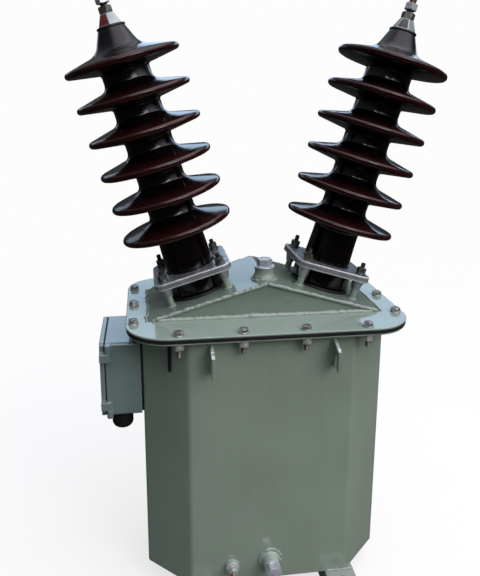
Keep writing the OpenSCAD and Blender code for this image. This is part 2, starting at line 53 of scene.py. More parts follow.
# places taken from the solids
COVER_LOW, COVER_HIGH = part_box("cover_plate")
COVER_TOP = COVER_HIGH.z
FLANGE_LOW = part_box("tank_flange")[0].z
WALL_LOW, WALL_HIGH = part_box("tank_wall")
FRONT = WALL_LOW.y
REAR = WALL_HIGH.y
ROOF_LOW, ROOF_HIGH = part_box("roof_sheet")
GABLE_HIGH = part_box("roof_gables")[1]
RAIL_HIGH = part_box("base_rails")[1]
HOOK_LOW, HOOK_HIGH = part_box("lifting_hooks")
FILLER_BOSS_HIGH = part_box("filler_boss")[1]
FILLER_PLUG_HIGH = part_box("filler_plug")[1]
DRAIN_LOW, DRAIN_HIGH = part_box("drain_plug")
DRAIN_Z = (DRAIN_LOW.z + DRAIN_HIGH.z) / 2
DRAIN_STUB_LOW, DRAIN_STUB_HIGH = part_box("drain_stub")
EARTH_LOW, EARTH_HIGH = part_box("earth_stud")
EARTH_X = (EARTH_LOW.x + EARTH_HIGH.x) / 2
EARTH_Z = (EARTH_LOW.z + EARTH_HIGH.z) / 2
EARTH_BOSS_LOW, EARTH_BOSS_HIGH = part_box("earth_boss")
GLAND_LOW, GLAND_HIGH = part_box("cable_gland")
STUDS_LOW, STUDS_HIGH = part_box("secondary_studs")
LID_LOW, LID_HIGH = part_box("box_lid")

# roof slope and bushing seats
ROOF_HALF = ROOF_HIGH.x
ROOF_RISE = 58 * MM
ROOF_SHEET = 5 * MM
SLOPE = math.atan(ROOF_RISE / ROOF_HALF)
BUSHING_X = 106 * MM
BUSHING_Z = COVER_TOP + ROOF_RISE * (1 - BUSHING_X / ROOF_HALF)

# sizes of a bushing, with heights from the roof up
POST_R = 5.5 * MM
THIN_FROM = 52 * MM
SHED_R = 92 * MM
CLAMP_TOP = 44 * MM
CLAMP_STUD_AT = 48 * MM
CAP_LOW = 443.8 * MM
CAP_TOP = 462.3 * MM
CAP_LOW_FLATS = 36 * MM
CAP_TOP_FLATS = 20 * MM
UPPER_NUT = 477.1 * MM
TERMINAL_ROOT = 400.3 * MM
TERMINAL_END = 504.9 * MM

# hexagon hardware
HEX_STEPS = 48
HEX_FACE = 0.95
HEX_CONE = math.tan(math.radians(30))
BOLT_R = 4.0 * MM
BOLT_FLATS = 13.6 * MM
BOLT_HEAD = 5.6 * MM
NUT_HEIGHT = 6.6 * MM
WASHER_R = 8.6 * MM
WASHER_T = 1.6 * MM
WASHER_NICK = 0.25
SPRING_R = WASHER_R * 0.84
SPRING_T = 2.1 * MM
SPRING_GAP = 0.04
SPRING_RISE = 0.25
THREAD_DEPTH = 0.55
NUT_LOW = WASHER_T + SPRING_T
BOLT_PITCH = 1.25 * MM
BOLT_PAST_NUT = 11 * MM
BOLT_PAST_SHARES = (0.85, 1.15)
BOLT_INSET = 12 * MM
BOLT_SEED = 11
FRONT_BOLT_XS = (-146.7 * MM, -48.9 * MM, 48.9 * MM, 146.7 * MM)
SIDE_BOLT_YS = (-89.3 * MM, 0.0, 89.3 * MM)
CLAMP_NUT = 8 * MM
CLAMP_STUD_END = 19 * MM
CLAMP_END_SPREAD = (-1.5, 2.5)
CLAMP_SEED = 23

# line terminals and the colour patches on their caps
TERMINAL_R = 6 * MM
TERMINAL_FLATS = 19 * MM
TERMINAL_NUT = 10.8 * MM
TERMINAL_PITCH = 1.75 * MM
LOWER_NUT_TURN = 0.2
UPPER_NUT_TURN = 0.75
PATCH_TURN = math.radians(240)
PATCH_ROOT = -0.1 * MM
PATCH_EDGE = 0.25 * MM
PATCH_T = 0.35 * MM
PATCH_NICK = 0.4 * MM
PATCH_FROM_FOOT = 2.2 * MM
PATCH_FROM_TOP = 1.8 * MM
PATCH_FROM_SIDE = 1.4 * MM

# filler, drain and earth fittings
FILLER_Y = -50 * MM
FILLER_FOOT_R = 19 * MM
PLUG_FLATS = 22 * MM
PLUG_SHANK_R = 8.8 * MM
FILLER_COLLAR_T = 3 * MM
FILLER_COLLAR_NICK = 0.7 * MM
FILLER_SHANK = 8 * MM
FILLER_HEX_TURN = 0.25
DRAIN_SHANK = 6 * MM
DRAIN_RIM_R = 12.6 * MM
DRAIN_RIM_T = 1.6 * MM
DRAIN_RIM_NICK = 0.4 * MM
DRAIN_HEX_TURN = 0.6
EARTH_R = 4 * MM
EARTH_FLATS = 13 * MM
EARTH_PITCH = 1.25 * MM
EARTH_SPRING_R = WASHER_R * 0.82
EARTH_HEX_TURN = 0.4
TOUCH = 0.1 * MM

# strap under the flange
STRAP_X = -160 * MM
STRAP_Y = -112 * MM
STRAP_WIDTH = 6 * MM
STRAP_T = 2.4 * MM
STRAP_LENGTH = 62 * MM
STRAP_END_STEPS = 12
STRAP_FACE = 0.7
STRAP_SIDE = 0.6

# terminal box fittings
GLAND_BORE = 6 * MM
GLAND_DOME = 11 * MM
GLAND_NECK = 9 * MM
GLAND_NECK_TUCK = 0.9
GLAND_CHAMFER = 1.2 * MM
GLAND_FOOT_SHARE = 0.93
GLAND_DOME_SHARE = 0.99
GLAND_DOME_STEPS = 8
GLAND_STEPS = 96
GLAND_FLUTES = 16
GLAND_FLUTE_DEPTH = 0.7 * MM
GLAND_FLUTE_ROWS = range(1, 5)
STUD_R = 3 * MM
STUD_PITCH = 1 * MM
STUD_FLATS = 10 * MM
STUD_NUT = 4.5 * MM
STUD_WASHER_R = 6 * MM
STUD_WASHER_T = 1 * MM
STUD_OUTER_NUT = 11 * MM
SCREW_FROM_END = 18 * MM
SCREW_FROM_SIDE = 12 * MM
SCREW_PROFILE = (
    (0, -2 * MM), (4.6 * MM, -2 * MM), (4.6 * MM, 1.4 * MM), (3.6 * MM, 2.4 * MM), (0, 2.6 * MM))

# weld beads
BEAD_ROWS = 4
BEAD_CREST = 0.4
BEAD_ACROSS = Vector((0.31, 0.17, 0.93))
BEAD_NOISE = 220
BEAD_NOISE_STEP = 7.1
BEAD_NOISE_AWAY = Vector((9, 3, 1))
BEAD_END = 0.6
BEAD_END_ROWS = 3
WELD_SINK = 0.6 * MM
EAVE_WELD_R = 2.9 * MM
EAVE_IN = 6 * MM
EAVE_LIFT = 1 * MM
GABLE_WELD_R = 4.4 * MM
GABLE_WELD_PAST = 6 * MM
LUMP_R = 5.2 * MM
LUMP_X = -24 * MM
LUMP_HALF = 14 * MM
LUMP_LIFT, LUMP_END_LIFT = 1 * MM, 1.4 * MM
LUMP_SEED = 42
FOOT_LENGTH = 7 * MM
FOOT_LENGTH_SHARES = (0.7, 1.3)
FOOT_WIDTH_SHARES = (0.75, 1.2)
FOOT_STEP_SHARES = (0.75, 1.0)
FOOT_SEED = 31
RIGHT_FOOT_OUT, RIGHT_FOOT_R, RIGHT_FOOT_STRAY = 0.2 * MM, 1.4 * MM, 0.2 * MM
LEFT_FOOT_OUT, LEFT_FOOT_R, LEFT_FOOT_STRAY = 0.6 * MM, 1.8 * MM, 2 * MM
POST_WELD_R = 1.8 * MM
POST_WELD_STEPS = 20
POST_WELD_LIFT = 0.4 * MM
FILLER_WELD_R = 2.6 * MM
FILLER_WELD_STEPS = 36
RIDGE_FLAT = 4 * MM
HOOK_X = 97 * MM
HOOK_T = 6 * MM
HOOK_WELD_R = 2.2 * MM
HOOK_WELD_SHORT = 2 * MM
DRAIN_WELD_R = 2.8 * MM
DRAIN_WELD_OUT = 0.4 * MM
EARTH_WELD_R = 2.2 * MM
EARTH_WELD_OUT = 0.3 * MM
RAIL_WIDTH = 50 * MM
RAIL_WELD_R = 2.2 * MM
RAIL_WELD_AT = 0.5 * MM

# values of the shader effects, where noise runs from 0 to 1
NOISE_MIDDLE = 0.5
BEVEL_SAMPLES = 4
MOTTLE_SPAN = (0.25, 0.75)
WEAR_AND_HIGHLIGHT_SPAN = (0.01, 0.12)
WEAR_AND_HIGHLIGHT_BREAK = 0.2
WEAR_AND_HIGHLIGHT_SCALE = 140.0
DUST_AND_SHEEN_LEVEL = (0.35, 1.0)
DUST_AND_SHEEN_FULL = 0.9
STREAK_SCALE = 3.0
STREAK_REACH = 0.55
STREAK_FULL = 0.8
STREAK_STRETCH = (16, 16, 0.7)
STREAK_FADE = (0.35, 0.65)
STREAK_FADE_SCALE = 9.0
SCRATCH_WAYS = (((1, 14, 4), (0.3, 0.2, 0.5)), ((12, 1, 5), (0.1, 0.5, 1.1)))


# shader effects shared by the finishes

def add(tree, kind, inputs=None, **settings):
    """Adds a node, with plain values or sockets for its inputs."""
    made = tree.nodes.new(kind)
    for key, value in settings.items():
        setattr(made, key, value)
    for key, value in (inputs or {}).items():
        if isinstance(value, bpy.types.NodeSocket):
            tree.links.new(value, made.inputs[key])
        else:
            made.inputs[key].default_value = value
    return made


def sums(tree, operation, a, b=0.0):
    return add(tree, "ShaderNodeMath", {0: a, 1: b}, operation=operation).outputs[0]


def span(tree, value, low, high, to_low=0.0, to_high=1.0):
    """Maps a value from one span onto another, held at both ends."""
    inputs = {"Value": value, "From Min": low, "From Max": high, "To Min": to_low, "To Max": to_high}
    return add(tree, "ShaderNodeMapRange", inputs, clamp=True).outputs["Result"]


def blend(tree, factor, a, b):
    return add(tree, "ShaderNodeMix", {0: factor, 6: a, 7: b}, data_type="RGBA").outputs[2]


def noise_of(tree, scale, detail=4.0, stretch=None, turn=None):
    """Noise in the object's own metres, stretched and turned if asked."""
    where = add(tree, "ShaderNodeTexCoord").outputs["Object"]
    if stretch or turn:
        inputs = {"Vector": where, "Scale": stretch or (1, 1, 1), "Rotation": turn or (0, 0, 0)}
        where = add(tree, "ShaderNodeMapping", inputs).outputs["Vector"]
    inputs = {"Vector": where, "Scale": scale, "Detail": detail}
    return add(tree, "ShaderNodeTexNoise", inputs).outputs["Fac"]


def effect(name, inputs, output, kind="NodeSocketFloat"):
    """Starts a node group with named inputs and one named output."""
    tree = bpy.data.node_groups.new(name, "ShaderNodeTree")
    for label, value in inputs.items():
        tree.interface.new_socket(label, in_out="INPUT", socket_type="NodeSocketFloat").default_value = value
    tree.interface.new_socket(output, in_out="OUTPUT", socket_type=kind)
    return tree, tree.nodes.new("NodeGroupInput").outputs, tree.nodes.new("NodeGroupOutput").inputs[0]


def make_mottle():
    """Soft patches between two shades."""
    tree, given, out = effect("Mottle", {"Scale": 20.0, "Contrast": 1.0}, "Mask")
    value = noise_of(tree, given["Scale"], detail=6.0)
    pushed = sums(tree, "MULTIPLY", sums(tree, "SUBTRACT", value, NOISE_MIDDLE), given["Contrast"])
    tree.links.new(span(tree, sums(tree, "ADD", pushed, NOISE_MIDDLE), *MOTTLE_SPAN), out)
    return tree


def make_edge_wear_and_highlight():
    """Edges broken up by noise: worn edges, and in some finishes painted highlight."""
    tree, given, out = effect("Edge wear", {"Radius": 0.002, "Scale": 120.0, "Breaks": 0.42}, "Mask")
    inputs = {"Radius": given["Radius"]}
    rounded = add(tree, "ShaderNodeBevel", inputs, samples=BEVEL_SAMPLES).outputs["Normal"]
    flat = add(tree, "ShaderNodeNewGeometry").outputs["Normal"]
    meet = add(tree, "ShaderNodeVectorMath", {0: rounded, 1: flat}, operation="DOT_PRODUCT")
    edge = span(tree, sums(tree, "SUBTRACT", 1.0, meet.outputs["Value"]), *WEAR_AND_HIGHLIGHT_SPAN)
    kept = sums(tree, "ADD", given["Breaks"], WEAR_AND_HIGHLIGHT_BREAK)
    patchy = span(tree, noise_of(tree, given["Scale"], detail=5.0), given["Breaks"], kept)
    tree.links.new(sums(tree, "MULTIPLY", edge, patchy), out)
    return tree


def make_soft_edge():
    """Normals that round an edge in the shading."""
    tree, given, out = effect("Soft edge", {"Radius": 0.001}, "Normal", "NodeSocketVector")
    inputs = {"Radius": given["Radius"]}
    rounded = add(tree, "ShaderNodeBevel", inputs, samples=BEVEL_SAMPLES).outputs["Normal"]
    tree.links.new(rounded, out)
    return tree


def make_settled_dust():
    """Patches on faces that look up: settled dust, and on the hooks and the box also painted highlight and
    reflection.
    """
    tree, given, out = effect("Settled dust", {"Scale": 30.0, "Reach": 0.5}, "Mask")
    facing = add(tree, "ShaderNodeNewGeometry").outputs["Normal"]
    up = add(tree, "ShaderNodeSeparateXYZ", {0: facing}).outputs["Z"]
    level = span(tree, up, *DUST_AND_SHEEN_LEVEL)
    bare = sums(tree, "SUBTRACT", 1.0, given["Reach"])
    patches = span(tree, noise_of(tree, given["Scale"], detail=7.0), bare, DUST_AND_SHEEN_FULL)
    tree.links.new(sums(tree, "MULTIPLY", level, patches), out)
    return tree


def make_streaks():
    """Upright streaks of dirty rain that fade in and out."""
    tree, given, out = effect("Rain streaks", {"Scale": 3.0, "Reach": 0.5}, "Mask")
    runs = noise_of(tree, given["Scale"], detail=5.0, stretch=STREAK_STRETCH)
    fade = noise_of(tree, STREAK_FADE_SCALE, detail=2.0)
    mask = span(tree, runs, sums(tree, "SUBTRACT", 1.0, given["Reach"]), STREAK_FULL)
    tree.links.new(sums(tree, "MULTIPLY", mask, span(tree, fade, *STREAK_FADE)), out)
    return tree


def make_scratches():
    """Fine lines that run two ways."""
    tree, given, out = effect("Scratches", {"Scale": 60.0, "Width": 0.012}, "Mask")
    lines = []
    for stretch, turn in SCRATCH_WAYS:
        value = noise_of(tree, given["Scale"], detail=2.0, stretch=stretch, turn=turn)
        off = sums(tree, "ABSOLUTE", sums(tree, "SUBTRACT", value, NOISE_MIDDLE))
        lines.append(span(tree, off, 0.0, given["Width"], 1.0, 0.0))
    tree.links.new(sums(tree, "MAXIMUM", *lines), out)
    return tree


def make_grain():
    """Fine grain over a broad wave."""
    tree, given, out = effect("Grain", {"Scale": 400.0, "Wave": 0.0, "Wave Scale": 7.0}, "Height")
    fine = noise_of(tree, given["Scale"], detail=3.0)
    broad = sums(tree, "MULTIPLY", noise_of(tree, given["Wave Scale"], detail=1.5), given["Wave"])
    tree.links.new(sums(tree, "ADD", fine, broad), out)
    return tree


MOTTLE = make_mottle()
EDGE_WEAR_AND_HIGHLIGHT = make_edge_wear_and_highlight()
SOFT_EDGE = make_soft_edge()
SETTLED_DUST_AND_SHEEN = make_settled_dust()
STREAKS = make_streaks()
SCRATCHES = make_scratches()
GRAIN = make_grain()


def place_effect(tree, group, **values):
    made = tree.nodes.new("ShaderNodeGroup")
    made.node_tree = group
    for key, value in values.items():
        made.inputs[key.replace("_", " ")].default_value = value
    return made.outputs[0]


def rgb(red, green, blue):
    """Linear colour of a screen colour given from 0 to 255."""
    def linear(c):
        c /= 255
        return c / 12.92 if c <= 0.04045 else ((c + 0.055) / 1.055) ** 2.4
    return (linear(red), linear(green), linear(blue), 1.0)


# how much rougher each effect makes a finish
STREAK_ROUGH = 0.25
SCRATCH_ROUGH = 0.2
WEAR_AND_HIGHLIGHT_ROUGH = 0.15
DUST_AND_SHEEN_ROUGH = 0.5


def surface(name, colour, shade, mottle=20.0, contrast=1.0, rough=(0.3, 0.4), metallic=0.0, specular=0.5,
            grain=400.0, wave=0.0, wave_scale=7.0, bump=0.1, lift=0.2 * MM, edge=0.8 * MM,
            wear=0.0, wear_colour=None, wear_radius=2 * MM, wear_and_highlight_breaks=0.42, wear_and_highlight_metallic=None,
            dust=0.0, dust_colour=None, dust_scale=30.0, dust_reach=0.6, streak=0.0, streak_colour=None,
            scratch=0.0, scratch_colour=None, scratch_scale=60.0, tint=None):
    """A finish: mottled colour, then streaks, scratches, worn edges and dust, with grain under soft edges;
    in some finishes the worn edges and dust are painted highlight and reflection.
    """
    made = bpy.data.materials.new(name)
    made.use_nodes = True
    tree = made.node_tree
    shader = tree.nodes["Principled BSDF"]
    patches = place_effect(tree, MOTTLE, Scale=mottle, Contrast=contrast)
    base = blend(tree, patches, colour, shade)
    roughness = span(tree, patches, 0.0, 1.0, *rough)
    if tint:
        base = tint(tree, base)
    layers = (
        (streak, streak_colour, STREAK_ROUGH, STREAKS, dict(Scale=STREAK_SCALE, Reach=STREAK_REACH)),
        (scratch, scratch_colour, SCRATCH_ROUGH, SCRATCHES, dict(Scale=scratch_scale)),
        (wear, wear_colour, WEAR_AND_HIGHLIGHT_ROUGH, EDGE_WEAR_AND_HIGHLIGHT,
         dict(Radius=wear_radius, Scale=WEAR_AND_HIGHLIGHT_SCALE, Breaks=wear_and_highlight_breaks)),
        (dust, dust_colour, DUST_AND_SHEEN_ROUGH, SETTLED_DUST_AND_SHEEN, dict(Scale=dust_scale, Reach=dust_reach)))
    for share, layer_colour, rougher, group, values in layers:
        if not share:
            continue
        mask = sums(tree, "MULTIPLY", place_effect(tree, group, **values), share)
        base = blend(tree, mask, base, layer_colour)
        roughness = sums(tree, "ADD", roughness, sums(tree, "MULTIPLY", mask, rougher))
        if group is EDGE_WEAR_AND_HIGHLIGHT and wear_and_highlight_metallic is not None:
            tree.links.new(span(tree, mask, 0.0, 1.0, metallic, wear_and_highlight_metallic), shader.inputs["Metallic"])
    tree.links.new(base, shader.inputs["Base Color"])
    tree.links.new(roughness, shader.inputs["Roughness"])
    height = place_effect(tree, GRAIN, Scale=grain, Wave=wave, Wave_Scale=wave_scale)
    normal = place_effect(tree, SOFT_EDGE, Radius=edge)
    inputs = {"Strength": bump, "Distance": lift, "Height": height, "Normal": normal}
    relief = add(tree, "ShaderNodeBump", inputs)
    tree.links.new(relief.outputs["Normal"], shader.inputs["Normal"])
    shader.inputs["Metallic"].default_value = metallic
    shader.inputs["Specular IOR Level"].default_value = specular
    return made


def redden_rims(tree, base):
    """Glaze runs thin and red towards the shed rims, measured out from the leaning axis of a bushing."""
    where = add(tree, "ShaderNodeTexCoord").outputs["Object"]
    place = add(tree, "ShaderNodeSeparateXYZ", {0: where})
    out = sums(tree, "SUBTRACT", sums(tree, "ABSOLUTE", place.outputs["X"]), BUSHING_X)
    up = sums(tree, "SUBTRACT", place.outputs["Z"], BUSHING_Z)
    across = sums(tree, "MULTIPLY", out, math.cos(SLOPE))
    across = sums(tree, "SUBTRACT", across, sums(tree, "MULTIPLY", up, math.sin(SLOPE)))
    off_axis = add(tree, "ShaderNodeCombineXYZ", {"X": across, "Y": place.outputs["Y"]}).outputs[0]
    radius = add(tree, "ShaderNodeVectorMath", {0: off_axis}, operation="LENGTH").outputs["Value"]
    return blend(tree, span(tree, radius, THIN_FROM, SHED_R), base, THIN_GLAZE)


THIN_GLAZE = rgb(38, 12, 9)
DUST = rgb(176, 172, 160)
GRIME = rgb(58, 60, 52)

GLOSS_COAT = dict(
    mottle=9.0, contrast=0.8, rough=(0.05, 0.1), specular=0.6, grain=330.0, wave=6.0, wave_scale=5.0,
    bump=0.08, lift=0.35 * MM, edge=1.6 * MM, wear=0.35, wear_colour=rgb(176, 187, 176),
    wear_radius=1.6 * MM, dust=0.22, dust_colour=rgb(176, 182, 174), dust_scale=24.0, dust_reach=0.62,
    streak=0.16, streak_colour=rgb(96, 104, 94))

tank_enamel = surface("tank_enamel", rgb(133, 147, 132), rgb(125, 139, 124), **GLOSS_COAT)
cover_enamel = surface("cover_enamel", rgb(142, 160, 146), rgb(134, 151, 138), **GLOSS_COAT)
# The gables and the roof sheet have the tank's paint made darker, as painted shade on these faces.
shaded_gable_enamel = surface(
    "shaded_gable_enamel", rgb(117, 132, 118), rgb(108, 122, 109), mottle=12.0, contrast=0.9, rough=(0.06, 0.12),
    grain=330.0, wave=8.0, wave_scale=6.0, bump=0.08, lift=0.35 * MM, edge=1.2 * MM,
    wear=0.3, wear_colour=rgb(168, 178, 168), wear_radius=1.6 * MM,
    streak=0.3, streak_colour=rgb(92, 98, 88))
# The welds have the tank's paint made lighter, as a painted highlight along the beads.
weld_enamel_with_highlight = surface(
    "weld_enamel_with_highlight", rgb(146, 158, 147), rgb(126, 138, 127), mottle=160.0, rough=(0.1, 0.22), specular=0.6,
    grain=900.0, bump=0.25, lift=0.3 * MM, edge=0.4 * MM, dust=0.3, dust_colour=rgb(172, 180, 172))
# On the hooks the pale edges and the near-white patches on the sloped tops are painted highlight.
hook_enamel_with_highlight = surface(
    "hook_enamel_with_highlight", rgb(125, 139, 124), rgb(113, 127, 112), mottle=60.0, rough=(0.06, 0.14), specular=0.6,
    grain=330.0, wave=3.0, wave_scale=40.0, bump=0.2, lift=0.3 * MM, edge=1.2 * MM,
    wear=0.35, wear_colour=rgb(196, 206, 198), wear_radius=1.2 * MM, streak=0.2, streak_colour=GRIME,
    dust=1.9, dust_colour=rgb(226, 234, 228), dust_scale=240.0, dust_reach=0.68)
# The drain stub and earth boss have the tank's paint made lighter, with broad pale edges, as painted
# highlight.
fitting_enamel_with_highlight = surface(
    "fitting_enamel_with_highlight", rgb(160, 175, 163), rgb(148, 162, 150), mottle=40.0, rough=(0.1, 0.2), specular=0.55,
    grain=330.0, wave=2.0, wave_scale=30.0, bump=0.2, lift=0.3 * MM, edge=2.6 * MM,
    wear=0.8, wear_colour=rgb(206, 214, 206), wear_radius=2.4 * MM, wear_and_highlight_breaks=0.34,
    dust=0.3, dust_colour=rgb(186, 192, 184), dust_scale=40.0, streak=0.2, streak_colour=GRIME)
rail_enamel = surface(
    "rail_enamel", rgb(142, 154, 144), rgb(122, 133, 124), mottle=26.0, rough=(0.2, 0.4),
    grain=330.0, wave=4.0, wave_scale=12.0, bump=0.2, lift=0.3 * MM, edge=1.4 * MM,
    wear=0.4, wear_colour=rgb(172, 180, 170), wear_radius=1.8 * MM,
    dust=0.5, dust_colour=rgb(178, 186, 174), dust_scale=40.0, dust_reach=0.7,
    streak=0.3, streak_colour=GRIME)
brown_glaze = surface(
    "brown_glaze", rgb(10, 4, 3), rgb(5, 2, 2), mottle=26.0, rough=(0.08, 0.15), specular=0.42,
    grain=160.0, wave=5.0, wave_scale=18.0, bump=0.1, lift=0.3 * MM, edge=0.6 * MM, tint=redden_rims,
    wear=0.25, wear_colour=rgb(46, 16, 12), wear_radius=5 * MM,
    dust=0.03, dust_colour=rgb(150, 140, 136), dust_scale=60.0, dust_reach=0.6)
black_rubber = surface(
    "black_rubber", rgb(17, 17, 17), rgb(26, 26, 25), mottle=60.0, rough=(0.4, 0.6), grain=700.0, bump=0.3,
    lift=0.2 * MM, edge=0.8 * MM, dust=0.1, dust_colour=rgb(84, 82, 76), dust_scale=80.0)
# The near-white worn edges of the clamp flanges are painted highlight.
cast_aluminium = surface(
    "cast_aluminium", rgb(172, 176, 178), rgb(126, 130, 132), mottle=70.0, contrast=1.2, rough=(0.2, 0.34),
    metallic=0.6, grain=520.0, wave=2.0, wave_scale=60.0, bump=0.3, lift=0.3 * MM, edge=2 * MM,
    wear=1.0, wear_colour=rgb(254, 254, 253), wear_radius=4.4 * MM, wear_and_highlight_breaks=0.16, wear_and_highlight_metallic=0.0,
    scratch=0.6, scratch_colour=rgb(86, 86, 82), scratch_scale=90.0,
    dust=0.2, dust_colour=rgb(120, 116, 106), dust_scale=90.0)
cap_metal = surface(
    "cap_metal", rgb(164, 176, 174), rgb(134, 146, 144), mottle=70.0, rough=(0.25, 0.45), metallic=0.5,
    grain=600.0, bump=0.25, lift=0.2 * MM, edge=1.0 * MM, wear=0.5, wear_colour=rgb(226, 228, 226),
    scratch=0.3, scratch_colour=rgb(120, 122, 120), dust=0.2, dust_colour=DUST, dust_scale=90.0)

FASTENING = dict(
    contrast=1.3, grain=900.0, bump=0.3, lift=0.1 * MM, edge=0.5 * MM, wear=0.6, wear_radius=0.8 * MM,
    dust=0.3, dust_scale=150.0)


def fastening(name, colour, shade, **values):
    """Finish of a small metal fastening, with only the values that differ from the common ones."""
    return surface(name, colour, shade, **{**FASTENING, **values})


plated_steel = fastening(
    "plated_steel", rgb(216, 220, 225), rgb(178, 182, 189), mottle=120.0, contrast=1.2, rough=(0.22, 0.38),
    metallic=0.55, bump=0.25, wear_colour=rgb(220, 220, 224), dust=0.25, dust_colour=rgb(104, 96, 84))
nut_zinc = fastening(
    "nut_zinc", rgb(206, 208, 205), rgb(150, 152, 150), mottle=130.0, contrast=1.2, rough=(0.2, 0.36),
    metallic=0.35, bump=0.25, wear_colour=rgb(230, 232, 230), dust=0.2, dust_colour=rgb(112, 104, 90))
stud_steel = fastening(
    "stud_steel", rgb(132, 126, 116), rgb(84, 78, 70), mottle=160.0, contrast=1.4, rough=(0.2, 0.4),
    metallic=0.6, edge=0.4 * MM, wear_colour=rgb(196, 190, 180), wear_radius=0.6 * MM,
    dust=0.2, dust_colour=rgb(104, 90, 76))
# The white worn edges on the bolt heads are painted highlight.
bolt_steel = fastening(
    "bolt_steel", rgb(196, 196, 194), rgb(124, 122, 119), mottle=130.0, rough=(0.12, 0.28), metallic=0.75,
    wear=0.8, wear_colour=rgb(236, 236, 235), wear_radius=0.9 * MM, dust=0.25, dust_colour=rgb(104, 98, 88))
dark_steel = fastening(
    "dark_steel", rgb(70, 68, 64), rgb(38, 36, 34), mottle=150.0, rough=(0.3, 0.5), metallic=0.8,
    bump=0.35, lift=0.12 * MM, wear_colour=rgb(150, 146, 140), dust_colour=rgb(112, 98, 82))
clamp_steel = fastening(
    "clamp_steel", rgb(112, 115, 108), rgb(60, 60, 56), mottle=110.0, contrast=1.4, rough=(0.26, 0.44),
    metallic=0.6, wear=0.7, wear_colour=rgb(186, 192, 184), wear_radius=0.9 * MM,
    dust_colour=rgb(112, 104, 92))
stud_brass = fastening(
    "stud_brass", rgb(126, 104, 76), rgb(86, 70, 54), mottle=140.0, rough=(0.24, 0.42), metallic=0.85,
    bump=0.2, edge=0.4 * MM, wear=0.5, wear_colour=rgb(190, 158, 108), wear_radius=0.7 * MM,
    dust_colour=rgb(92, 74, 56), dust_scale=30.0)
dull_brass = fastening(
    "dull_brass", rgb(134, 122, 108), rgb(92, 80, 68), mottle=140.0, contrast=1.4, rough=(0.24, 0.42),
    metallic=0.5, bump=0.25, edge=0.4 * MM, wear_colour=rgb(204, 186, 166), wear_radius=0.7 * MM,
    dust_colour=rgb(92, 76, 62), dust_scale=30.0)
# On the box the pale edges are painted highlight, and the bluish patches on faces that look up are dust with
# painted sky reflection.
box_plastic = surface(
    "box_plastic", rgb(114, 132, 126), rgb(103, 120, 115), mottle=14.0, rough=(0.05, 0.1), specular=0.85,
    grain=1300.0, wave=3.0, wave_scale=9.0, bump=0.08, lift=0.15 * MM, edge=1.2 * MM,
    wear=0.6, wear_colour=rgb(178, 194, 196), wear_radius=2 * MM, wear_and_highlight_breaks=0.3,
    dust=0.15, dust_colour=rgb(172, 198, 212), dust_scale=35.0)
board_laminate = surface(
    "board_laminate", rgb(104, 60, 34), rgb(78, 42, 24), mottle=70.0, contrast=1.2, rough=(0.3, 0.45),
    grain=1500.0, bump=0.2, lift=0.1 * MM, edge=0.5 * MM, wear=0.4, wear_colour=rgb(150, 104, 66))


def patch_paint(name, colour, shade, wear_colour):
    """Paint of a colour patch on a cap."""
    return surface(name, colour, shade, mottle=160.0, rough=(0.3, 0.5), grain=900.0, bump=0.15,
                   edge=0.2 * MM, wear=0.6, wear_colour=wear_colour, wear_radius=0.8 * MM)


red_patch = patch_paint("red_patch", rgb(122, 34, 29), rgb(98, 26, 23), rgb(180, 150, 140))
grey_patch = patch_paint("grey_patch", rgb(62, 62, 64), rgb(48, 48, 50), rgb(150, 150, 148))


def pair(name):
    """Names of a bushing's node on both sides."""
    return "left_" + name, "right_" + name


# finish of each solid that shows
NODE_FINISHES = {
    tank_enamel: ("tank_floor", "tank_wall", "tank_flange", "filler_boss", *pair("clamp_posts")),
    cover_enamel: ("cover_plate",),
    shaded_gable_enamel: ("roof_gables", "roof_sheet"),
    hook_enamel_with_highlight: ("lifting_hooks",),
    fitting_enamel_with_highlight: ("drain_stub", "earth_boss"),
    rail_enamel: ("base_rails",),
    brown_glaze: pair("porcelain"),
    black_rubber: (
        "cover_gasket", *pair("base_gasket"), *pair("packing_ring"), *pair("cap_gasket"), "box_gasket",
        "lid_seal"),
    cast_aluminium: pair("clamp_flange"),
    cap_metal: pair("terminal_cap"),
    plated_steel: ("hinge_pins",),
    box_plastic: ("terminal_box", "box_lid"),
    board_laminate: ("terminal_board",),
}


# edges of the solids
SEAM = 0.002 * MM
SHARP = math.radians(40)
FLAT = math.radians(0.5)
ROUND_SEGMENTS = 3


def make_smoothing():
    """Modifier that shades turned and folded faces smoothly and keeps real edges sharp."""
    tree = bpy.data.node_groups.new("Smooth turned faces", "GeometryNodeTree")
    tree.interface.new_socket("Geometry", in_out="INPUT", socket_type="NodeSocketGeometry")
    tree.interface.new_socket("Geometry", in_out="OUTPUT", socket_type="NodeSocketGeometry")
    given = tree.nodes.new("NodeGroupInput").outputs[0]
    merged = add(tree, "GeometryNodeMergeByDistance", {"Geometry": given, "Distance": SEAM})
    plain = add(tree, "GeometryNodeRemoveAttribute", {0: merged.outputs[0], "Name": "custom_normal"})
    inputs = {0: plain.outputs[0], "Shade Smooth": True}
    smooth = add(tree, "GeometryNodeSetShadeSmooth", inputs, domain="FACE")
    angle = add(tree, "GeometryNodeInputMeshEdgeAngle").outputs["Unsigned Angle"]
    sharp = add(tree, "FunctionNodeCompare", {0: angle, 1: SHARP}, operation="GREATER_THAN")
    inputs = {0: smooth.outputs[0], "Selection": sharp.outputs[0], "Shade Smooth": False}
    edged = add(tree, "GeometryNodeSetShadeSmooth", inputs, domain="EDGE")
    tree.links.new(edged.outputs[0], tree.nodes.new("NodeGroupOutput").inputs[0])
    return tree


SMOOTHING = make_smoothing()

